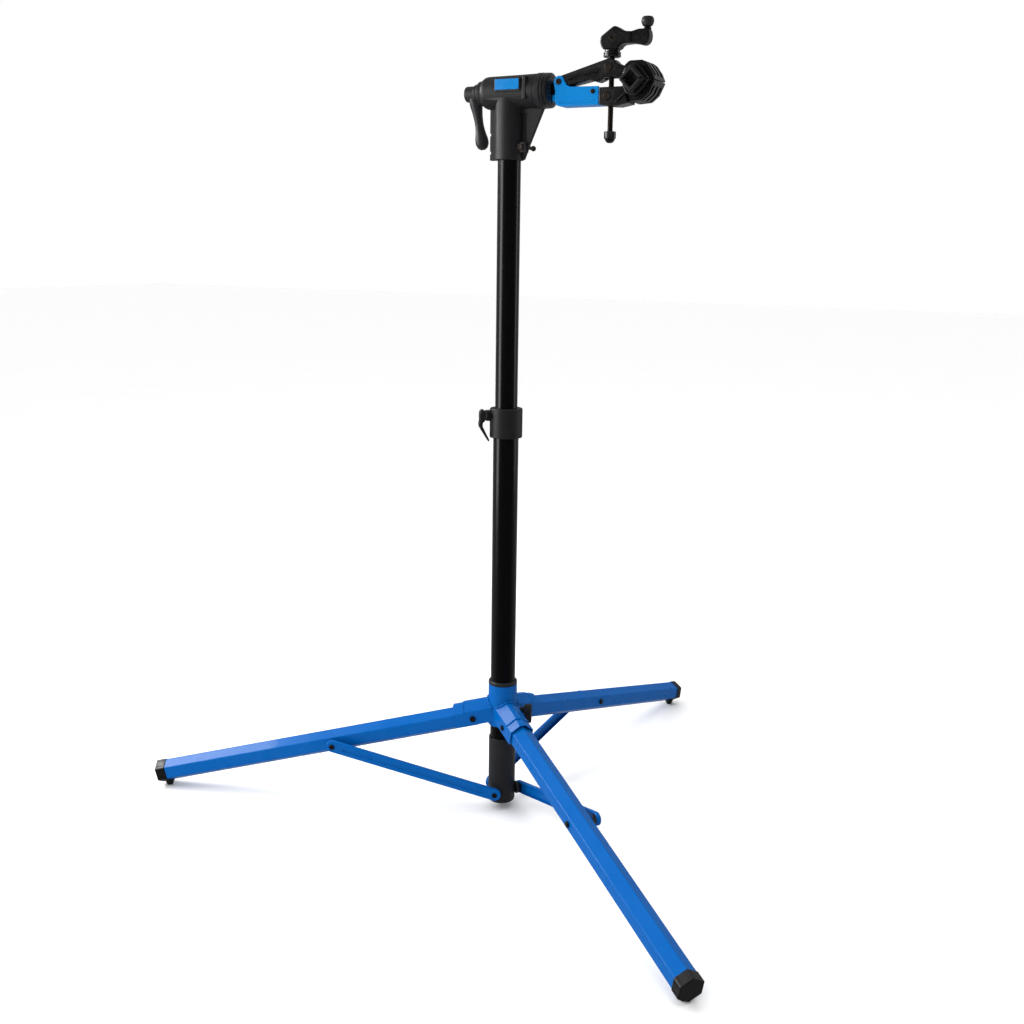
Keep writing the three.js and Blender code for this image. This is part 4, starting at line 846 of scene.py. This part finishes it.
class STAND_OT_clamp(PieceOperator, bpy.types.Operator):
    """Draws the clamp's flange, arm, jaws, pads, spindle and crank"""
    bl_idname = "stand.clamp"
    bl_label = "Clamp and crank"

    def shaft(self):
        start = BARREL_RIGHT + FIT
        end = start + 14
        left = low("clamp_shaft").x
        return turned([(0, left), (6, left), (6, BARREL_LEFT + 2), (17, BARREL_LEFT + 2), (17, start),
                       (27.2, start), (28, start + 0.8), (28, start + 4.2), (27.2, start + 5),
                       (27.2, start + 6), (28, start + 6.8), (27.6, end - 4), (24, end - 1.2), (21, end),
                       (13, end), (13, BARREL_LEFT + 12), (0, BARREL_LEFT + 12)], BARREL, "X", 96)

    def arm(self):
        px, pz = JAW_PIVOT.x, JAW_PIVOT.z
        side = [(ARM_START + 8.2, ARM_BOTTOM + 5.5), (ARM_START + 11.5, ARM_BOTTOM + 1.2),
                (ARM_START + 16, ARM_BOTTOM), (ARM_END, ARM_BOTTOM), (ARM_END, ARM_TOP),
                (px + 20, ARM_TOP + 1.2), (px + 14, ARM_TOP + 4), *arc((px, pz), 9.5, 12, 205, 20),
                (px - 7.4, ARM_TOP - 1.5), (px - 6.4, ARM_TOP - 6), (px - 6.8, ARM_TOP - 14)]
        body = softened(prism(side, -ARM_HALF, ARM_HALF), 1.6, 4)
        inner = ARM_HALF - 3
        room = prism(rectangle(ARM_START + 12, ARM_END + 9, ARM_BOTTOM + 3, pz + 20), -inner, inner)
        mouth = prism(rectangle(ARM_START - 9, ARM_START + 6, ARM_TOP - 6, pz + 20), -inner, inner)
        press = softened(prism(rectangle(px + 2, ARM_END - 3, ARM_BOTTOM + 3.5, ARM_BOTTOM + 8),
                               -ARM_HALF - 3, -ARM_HALF + 0.7), 0.6, 2)
        nose = softened(prism(rectangle(81.3, 96, 1258, 1268), -7, 7), 1.4, 3)
        return cut(joined(body, nose), room, mouth, press, rod(4.3, -30, 30, (px, 0, pz), "Y", 0.1, 24),
                   rod(3.3, -30, 30, (JAW_BOLT[0], 0, JAW_BOLT[1]), "Y", 0.1, 24))

    def bolt(self, x, z, radius, head):
        at = (x, 0, z)
        bolt = joined(rod(radius, -ARM_HALF - 1, ARM_HALF + 1, at, "Y"),
                      rod(head, -ARM_HALF - 2.4, -ARM_HALF - FIT, at, "Y", 0.9),
                      rod(head, ARM_HALF + FIT, ARM_HALF + 2.5, at, "Y", 0.4, 6))
        return cut(bolt, prism(around(x, z, *hexagon(head * 0.5)), -ARM_HALF - 4, -ARM_HALF - 1.3))

    def pad(self, sign):
        """Rubber pad: a thick diamond in front with a rolled rim, and a ribbed liner behind it."""
        def half_diamond(outer, inner, wide=0.5):
            return around(JAW_X, JAW_Z, (-outer + wide, sign * 0.5), (0, sign * outer),
                          (outer - wide, sign * 0.5), (inner - wide, sign * 0.5), (0, sign * inner),
                          (-inner + wide, sign * 0.5))
        front = softened(prism(half_diamond(21, 13), JAW_FRONT, JAW_FRONT + 12.7), 1.5, 4)
        pad = joined(front, prism(half_diamond(16.2, 13), JAW_FRONT + 12, JAW_BACK))
        for i in range(5):
            y = JAW_FRONT + 20 + i * 11
            groove = around(JAW_X, JAW_Z, (-15, sign * 0.2), (15, sign * 0.2), (0, sign * 14.2))
            pad = cut(pad, prism(groove, y, y + 3.0))
        return pad

    def bracket(self, cage, collar):
        """A jaw's cage behind a slimmer collar, both with softened edges; points from the jaw's middle."""
        front = JAW_FRONT + 13
        back = softened(prism(around(JAW_X, JAW_Z, *cage), front + 13, JAW_BACK), 2.2, 4)
        return joined(back, softened(prism(around(JAW_X, JAW_Z, *collar), front, front + 20), 1.8, 3))

    def slots(self, *outline):
        """Three slots across a jaw's cage."""
        starts = [JAW_FRONT + 30 + i * 15 for i in range(3)]
        return [softened(prism(around(JAW_X, JAW_Z, *outline), y, y + 8), 1.2, 3) for y in starts]

    def seat(self, sign):
        """The groove that a pad sits in."""
        corners = around(JAW_X, JAW_Z, (-17.7, -sign), (0, sign * 16.7), (17.7, -sign))
        return prism(corners, JAW_FRONT + 12, JAW_BACK + 1)

    def upper_jaw(self):
        px, pz = JAW_PIVOT.x, JAW_PIVOT.z
        tz = TRUNNION_UP_Z
        beam = [*arc((px, pz), 9, 108, 275, 14), (px + 53, 1287.5), (px + 60, 1285), (px + 65, 1284),
                (px + 72, 1286.5), (px + 79, 1290), (px + 93, 1290),
                *around(JAW_X, JAW_Z, (-18, 0.5), (-8, 17), (-13, 20.5), (-20, 22.8), (-28, 25)),
                *arc((SPINDLE_X, tz), 13, 30, 112, 8)]
        body = softened(prism(beam, -JAW_HALF, JAW_HALF), 1.5, 3)
        hollow = around(px, pz, (12, 2), (64, 3.2), (68, 12.5), (30, 8))
        relief = softened(prism(hollow, -JAW_HALF - 2, -JAW_HALF + 2.2), 0.8, 2)
        bracket = self.bracket(
            [(-21, 0.5), (-24, 14), (-22, 24), (-14, 30.4), (8, 30.6), (16, 25), (25, 13), (30.6, 0.5)],
            [(-20, 0.5), (-20, 8), (-15, 19), (-6, 23.6), (3, 23.8), (13, 16), (25, 0.5)])
        slots = self.slots((-9, 34), (12, 34), (34, 10), (26, 6), (8, 25.5), (-9, 26.5))
        passage = [(SPINDLE_X - 13, 1278), *around(SPINDLE_X, tz, (-10.5, -9), (-7, 0), (-8, 7), (-16, 20),
                                                   (16, 20), (8, 7), (7, 0)), (SPINDLE_X + 7, 1278)]
        return cut(joined(body, bracket), relief, self.seat(1), prism(passage, -5.7, 5.7),
                   rod(7.3, -30, 30, (SPINDLE_X, 0, tz), "Y", 0.1, 32),
                   rod(4.3, -30, 30, (px, 0, pz), "Y", 0.1, 24), *slots)

    def lower_jaw(self):
        top = BARREL_Z - 0.5
        z = TRUNNION_LOW_Z
        tongue = prism(rectangle(ARM_END - 28, ARM_END + 6, ARM_BOTTOM + 3.3, top), -JAW_HALF, JAW_HALF)
        tongue = softened(tongue, 0.8, 2)
        shoulder = ARM_END + FIT
        block = [(shoulder, ARM_BOTTOM), (SPINDLE_X + 2, ARM_BOTTOM - 2), (SPINDLE_X + 15, ARM_BOTTOM - 3),
                 (JAW_X - 12, JAW_Z - 34), (JAW_X - 19, JAW_Z - 8), (SPINDLE_X + 18, top), (shoulder, top)]
        body = softened(prism(block, -ARM_HALF, ARM_HALF), 1.6, 3)
        bracket = self.bracket(
            [(-21, -0.5), (-21, -18), (-14, -31.4), (9, -29.8), (21, -20), (27, -8), (30.6, -0.5)],
            [(-20, -0.5), (-19, -9), (-13, -20), (-4, -24), (4, -23.4), (14, -15), (25, -0.5)])
        slots = self.slots((-8, -34), (12, -34), (34, -12), (25, -7), (8, -24.5), (-8, -26))
        passage = around(SPINDLE_X, z, (-16, -21), (16, -21), (7.5, 0), (12, 24), (-14, 24), (-7.5, 0))
        rib = softened(prism([(SPINDLE_X + 12, ARM_BOTTOM + 2), (SPINDLE_X + 17, ARM_BOTTOM + 2),
                              (JAW_X - 12, JAW_Z - 17), (JAW_X - 16, JAW_Z - 14)],
                             -ARM_HALF - 1.5, -ARM_HALF + 3), 0.8, 2)
        return cut(joined(tongue, body, bracket, rib), self.seat(-1), prism(passage, -5.7, 5.7),
                   rod(7.3, -30, 30, (SPINDLE_X, 0, z), "Y", 0.1, 32),
                   rod(3.3, -30, 30, (JAW_BOLT[0], 0, JAW_BOLT[1]), "Y", 0.1, 24), *slots)

    def spindle(self):
        """Screw with a rolled thread, shown as closely spaced rings."""
        bottom, top = low("clamp_spindle").z, high("clamp_spindle").z
        pitch = 2.0
        profile = [(0, bottom), (4.1, bottom)]
        z = bottom + 0.5
        while z < CRANK_BOTTOM - 12:
            profile += [(3.9, z), (4.45, z + pitch * 0.35), (4.45, z + pitch * 0.6),
                        (3.9, z + pitch * 0.95)]
            z += pitch
        profile += [(4.4, z + 0.6), (4.4, top - 0.4), (0, top)]
        return turned(profile, SPINDLE, steps=32)

    def washer(self):
        profile = around(0, low("thrust_washer").z, (4.8, 0), (12.6, 0), (13.7, 0.5), (14, 1.4), (14, 3.4),
                         (13.3, 4), (13.3, 4.6), (14, 5.2), (14, 6.8), (12.6, 7.8), (12.4, 8.4),
                         (12.4, 10.3), (4.8, 10.3))
        return turned(profile, SPINDLE, steps=64)

    def end_cap(self):
        z = low("spindle_end_cap").z
        profile = around(0, z, (0, 0), (3.4, 0.3), (5.6, 1.5), (7.2, 3.4), (8.2, 6), (9.6, 7.6), (9.7, 9),
                         (9.7, 17), (9.0, 18), (4.8, 18), (4.8, 11.7), (0, 11.7))
        cap = turned(profile, SPINDLE, steps=48)
        for i in range(12):
            angle = math.tau * i / 12
            at = (SPINDLE_X + 9.9 * math.cos(angle), 9.9 * math.sin(angle), 0)
            cap = cut(cap, rod(0.8, z + 8.4, z + 19, at, steps=12))
        return cap

    def crank(self):
        x, z = SPINDLE_X, CRANK_BOTTOM
        hub = around(x, z, (-12, 0.2), (12, 0.2), (14.5, 2.5), (16.5, 5), (20, 7.5), (35, 8), (35, 25.4),
                     (28, 26), (21, 27.4), (11, 33.6), (7, 34.8), (3.5, 34), (-15, 21.6), (-17.6, 17.5),
                     (-17.9, 11.5), (-15.5, 5))
        blade = around(x, z, (28, 7.6), (36, 7.8), (44, 6.8), (52, 4.6), (57, 4.2), (61, 6), (64, 9.6),
                       (65.5, 15), (65.4, 20), (64, 27.3), (58, 28.6), (46, 28.6), (36, 26.2), (28, 25.6))
        stem = turned([(0, z + 20), (6.2, z + 20), (6.2, z + 27.6), (6.0, z + 29.4), (5.1, z + 31.8),
                       (5.1, KNOB.z - 7.8), (4, KNOB.z - 7.7), (4, KNOB.z + 3), (0, KNOB.z + 3)],
                      (KNOB.x, 0, 0), steps=40)
        body = softened(prism(hub, -11.5, 11.5), 3.0, 4)
        body = joined(body, softened(prism(blade, -9, 9), 3.2, 4), stem)
        return cut(body, rod(4.8, z - 2, z + 14.3, SPINDLE, steps=32, round_by=0.1),
                   rod(5.5, -16, -6, CRANK_SCREW, "Y", 0.1, 40),
                   rod(6.7, -16, -10.6, CRANK_SCREW, "Y", 0.1, 40))

    def crank_screw(self):
        socket = prism(around(CRANK_SCREW[0], CRANK_SCREW[2], *hexagon(2.5)), -12, -8)
        return cut(rod(5, -10, -6.3, CRANK_SCREW, "Y", 0.7, 40), socket)

    def knob(self):
        profile = around(0, KNOB.z, (4.3, -7.4), (7.0, -7.4), (8.4, -6), *arc((0, 0), 10, -28, 36, 8),
                         (6.6, 6.7), (4, 7.1), (0, 7.2), (0, 3.3), (4.3, 3.3))
        return turned(profile, (KNOB.x, 0, 0), steps=56)

    def trunnion(self, z, half):
        """Round pin across a jaw, bored for the spindle, with a ring turned in its near end."""
        at = (SPINDLE_X, 0, z)
        pin = rod(7, -half - 1, half + 1, at, "Y", 0.9, 40)
        ring = turned(rectangle(5.4, 6.2, -half - 3, -half - 0.7), at, "Y", 40)
        return cut(pin, rod(4.8, z - 12, z + 12, SPINDLE, steps=32, round_by=0.1), ring)

    def execute(self, context):
        pieces = (
            (self.shaft(), "flanged_shaft", "clamp", *CASTING, "clamp_shaft"),
            (self.arm(), "bent_arm", "clamp", "cast_blue", arm_enamel, "clamp_arm"),
            (self.bolt(JAW_PIVOT.x, JAW_PIVOT.z, 4, 5), "hinge_bolt", "clamp", *STEEL, "jaw_pivot_bolt"),
            (self.bolt(*JAW_BOLT, 3, 3.8), "jaw_bolt", "clamp", *STEEL, "lower_jaw_bolt"),
            (self.pad(1), "upper_pad", "upper_jaw", "jaw_rubber", moulded_rubber, "upper_jaw_pad"),
            (self.pad(-1), "lower_pad", "clamp", "jaw_rubber", moulded_rubber, "lower_jaw_pad"),
            (self.upper_jaw(), "cast_upper_jaw", "upper_jaw", *CASTING, "upper_jaw"),
            (self.lower_jaw(), "cast_lower_jaw", "clamp", *CASTING, "lower_jaw"),
            (self.trunnion(TRUNNION_UP_Z, JAW_HALF), "upper_pin", "upper_trunnion", *STEEL,
             "upper_trunnion"),
            (self.trunnion(TRUNNION_LOW_Z, ARM_HALF), "lower_pin", "lower_nut", *STEEL,
             "lower_trunnion_nut"),
            (self.spindle(), "threaded_spindle", "crank", *STEEL, "clamp_spindle"),
            (self.washer(), "thrust_collar", "crank", *CASTING, "thrust_washer"),
            (self.end_cap(), "fluted_end_cap", "crank", *CASTING, "spindle_end_cap"),
            (self.crank(), "cast_crank", "crank", *CASTING, "crank_arm"),
            (self.crank_screw(), "crank_bolt", "crank", *STEEL, "crank_screw"),
            (self.knob(), "ball_knob", "crank_knob", "cast_black", satin_nylon, "crank_knob"),
        )
        for piece, name, body, slot, finish, node_name in pieces:
            done(piece, name, body, slot, finish, node_name)
        return {"FINISHED"}


class STAND_OT_inner_finishes(PieceOperator, bpy.types.Operator):
    """Gives the inner pieces that keep their CAD shape their finishes"""
    bl_idname = "stand.inner_finishes"
    bl_label = "Inner pieces"

    def execute(self, context):
        finishes = {
            "mast_guide_bush": satin_nylon, "upper_tube_plug": satin_nylon, "hub_lower_bush": satin_nylon,
            "hub_lock_screw": black_oxide,
        }
        for name, finish in finishes.items():
            mesh = frame["nodes"][name].data
            mesh.materials.clear()
            mesh.materials.append(finish_of(finish))
        return {"FINISHED"}


class STAND_OT_stage(PieceOperator, bpy.types.Operator):
    """Sets a pale floor, soft lights and the camera"""
    bl_idname = "stand.stage"
    bl_label = "Floor, lights and camera"

    def floor(self):
        bpy.ops.object.select_all(action="DESELECT")
        bpy.ops.mesh.primitive_plane_add(size=40, location=(0, 0, FLOOR_Z * MM - 0.0005))
        floor = bpy.context.object
        floor.name = "floor"
        floor.visible_glossy = False
        material = bpy.data.materials.new("matt_paper_floor")
        material.use_nodes = True
        tree = material.node_tree
        shader = tree.nodes["Principled BSDF"]
        shader.inputs["Roughness"].default_value = 0.75
        place = node(tree, "ShaderNodeTexCoord")
        fibre = node(tree, "ShaderNodeTexNoise", Vector=(place, "Object"), Scale=4.0, Detail=4.0)
        tone = node(tree, "ShaderNodeMix", {"data_type": "RGBA"}, _0=(fibre, "Fac"),
                    _6=hex_default("#efefef"), _7=hex_default("#f2f2f2"))
        tree.links.new(tone.outputs[2], shader.inputs["Base Color"])
        floor.data.materials.append(material)

    def added(self, name, data):
        """A new object for a light or a camera."""
        made = bpy.data.objects.new(name, data)
        bpy.context.collection.objects.link(made)
        return made

    def area(self, name, place, target, size, power):
        light = bpy.data.lights.new(name, "AREA")
        light.shape = "RECTANGLE"
        light.size, light.size_y = size
        light.energy = power
        lamp = self.added(name, light)
        lamp.location = place
        lamp.rotation_euler = (Vector(target) - Vector(place)).to_track_quat("-Z", "Y").to_euler()
        return lamp

    def lights(self):
        """A broad overhead light for soft shadows, and softboxes at the sides for the highlights.

        The overhead light and the floor stay out of reflections, as black card hung round the stand would
        keep them out, so that the enamels hold their depth.
        """
        sky = bpy.data.lights.new("overhead_diffuser", "SUN")
        sky.energy = 3.25
        sky.angle = math.radians(100)
        lamp = self.added("overhead_diffuser", sky)
        lamp.rotation_euler = (math.radians(-6), math.radians(-8), 0)
        lamp.visible_glossy = False
        self.area("left_softbox", (-1.95, -1.65, 1.1), (0, 0, 0.8), (1.1, 2.2), 34)
        self.area("leg_softbox", (-2.25, -0.5, 1.85), (-0.5, -0.2, 0.05), (0.9, 0.9), 40)
        self.area("right_strip", (2.0, 1.3, 1.2), (0, 0, 0.8), (0.4, 2.2), 6)
        fill = self.area("front_fill", (0.2, -3.0, 1.6), (0, 0, 0.6), (2.0, 2.0), 42)
        fill.visible_glossy = False
        self.room()

    def room(self):
        """A room of white paper, dark on the camera's side so that black enamel stays black."""
        world = bpy.data.worlds.new("studio")
        bpy.context.scene.world = world
        world.use_nodes = True
        tree = world.node_tree
        place = node(tree, "ShaderNodeTexCoord")
        facing = node(tree, "ShaderNodeVectorMath", {"operation": "DOT_PRODUCT"}, _0=(place, "Generated"),
                      _1=(0.47, -0.88, 0.0))
        dim = node(tree, "ShaderNodeMapRange", Value=(facing, "Value"), From_Min=-0.5, From_Max=0.5,
                   To_Min=0.28, To_Max=0.04)
        dusk = tree.nodes["Background"]
        dusk.inputs["Color"].default_value = hex_default("#ffffff")
        tree.links.new(dim.outputs["Result"], dusk.inputs["Strength"])
        paper = node(tree, "ShaderNodeBackground", Color=hex_default("#ffffff"), Strength=1.0)
        path = node(tree, "ShaderNodeLightPath")
        mix = node(tree, "ShaderNodeMixShader", _0=(path, "Is Camera Ray"), _1=(dusk, 0), _2=(paper, 0))
        tree.links.new(mix.outputs[0], tree.nodes["World Output"].inputs["Surface"])

    def camera(self):
        """The camera stands in front of the stand and a little to its right, looking down by 13 degrees."""
        data = bpy.data.cameras.new("camera")
        data.sensor_width = 36
        data.lens = 42.11
        camera = self.added("camera", data)
        heading, pitch, roll = math.radians(117.59), math.radians(12.617), math.radians(0.793)
        forward = Vector((math.cos(heading) * math.cos(pitch), math.sin(heading) * math.cos(pitch),
                          -math.sin(pitch)))
        level = Vector((math.sin(heading), -math.cos(heading), 0))
        up = level.cross(forward)
        right = level * math.cos(roll) + up * math.sin(roll)
        upward = up * math.cos(roll) - level * math.sin(roll)
        turn = Matrix((right, upward, -forward)).transposed()
        camera.matrix_world = Matrix.Translation((0.9858, -1.8591, 1.0292)) @ turn.to_4x4()
        bpy.context.scene.camera = camera

    def execute(self, context):
        self.camera()
        self.floor()
        self.lights()
        context.scene.view_settings.view_transform = "Standard"
        return {"FINISHED"}


class STAND_PT_panel(bpy.types.Panel):
    """Lists the stand's settings and the steps that build it"""
    bl_label = "Repair stand"
    bl_idname = "STAND_PT_panel"
    bl_space_type = "VIEW_3D"
    bl_region_type = "UI"
    bl_category = "Repair stand"

    def draw(self, context):
        for group in (context.scene.stand_sizes, context.scene.stand_colours):
            for name in group.bl_rna.properties.keys():
                if name not in ("rna_type", "name"):
                    self.layout.prop(group, name)
        for operator in OPERATORS:
            self.layout.operator(operator.bl_idname)


OPERATORS = (STAND_OT_stage, STAND_OT_mast, STAND_OT_hub, STAND_OT_legs, STAND_OT_struts, STAND_OT_head,
             STAND_OT_clamp, STAND_OT_inner_finishes)
CLASSES = (StandColours, StandSizes, *OPERATORS, STAND_PT_panel)


def register():
    for each in CLASSES:
        bpy.utils.register_class(each)
    bpy.types.Scene.stand_colours = bpy.props.PointerProperty(type=StandColours)
    bpy.types.Scene.stand_sizes = bpy.props.PointerProperty(type=StandSizes)


def unregister():
    del bpy.types.Scene.stand_sizes
    del bpy.types.Scene.stand_colours
    for each in reversed(CLASSES):
        bpy.utils.unregister_class(each)


def main():
    register()
    bpy.ops.stand.stage()
    bpy.ops.stand.mast()
    bpy.ops.stand.hub()
    bpy.ops.stand.legs()
    bpy.ops.stand.struts()
    bpy.ops.stand.head()
    bpy.ops.stand.clamp()
    bpy.ops.stand.inner_finishes()


if __name__ == "__main__":
    main()
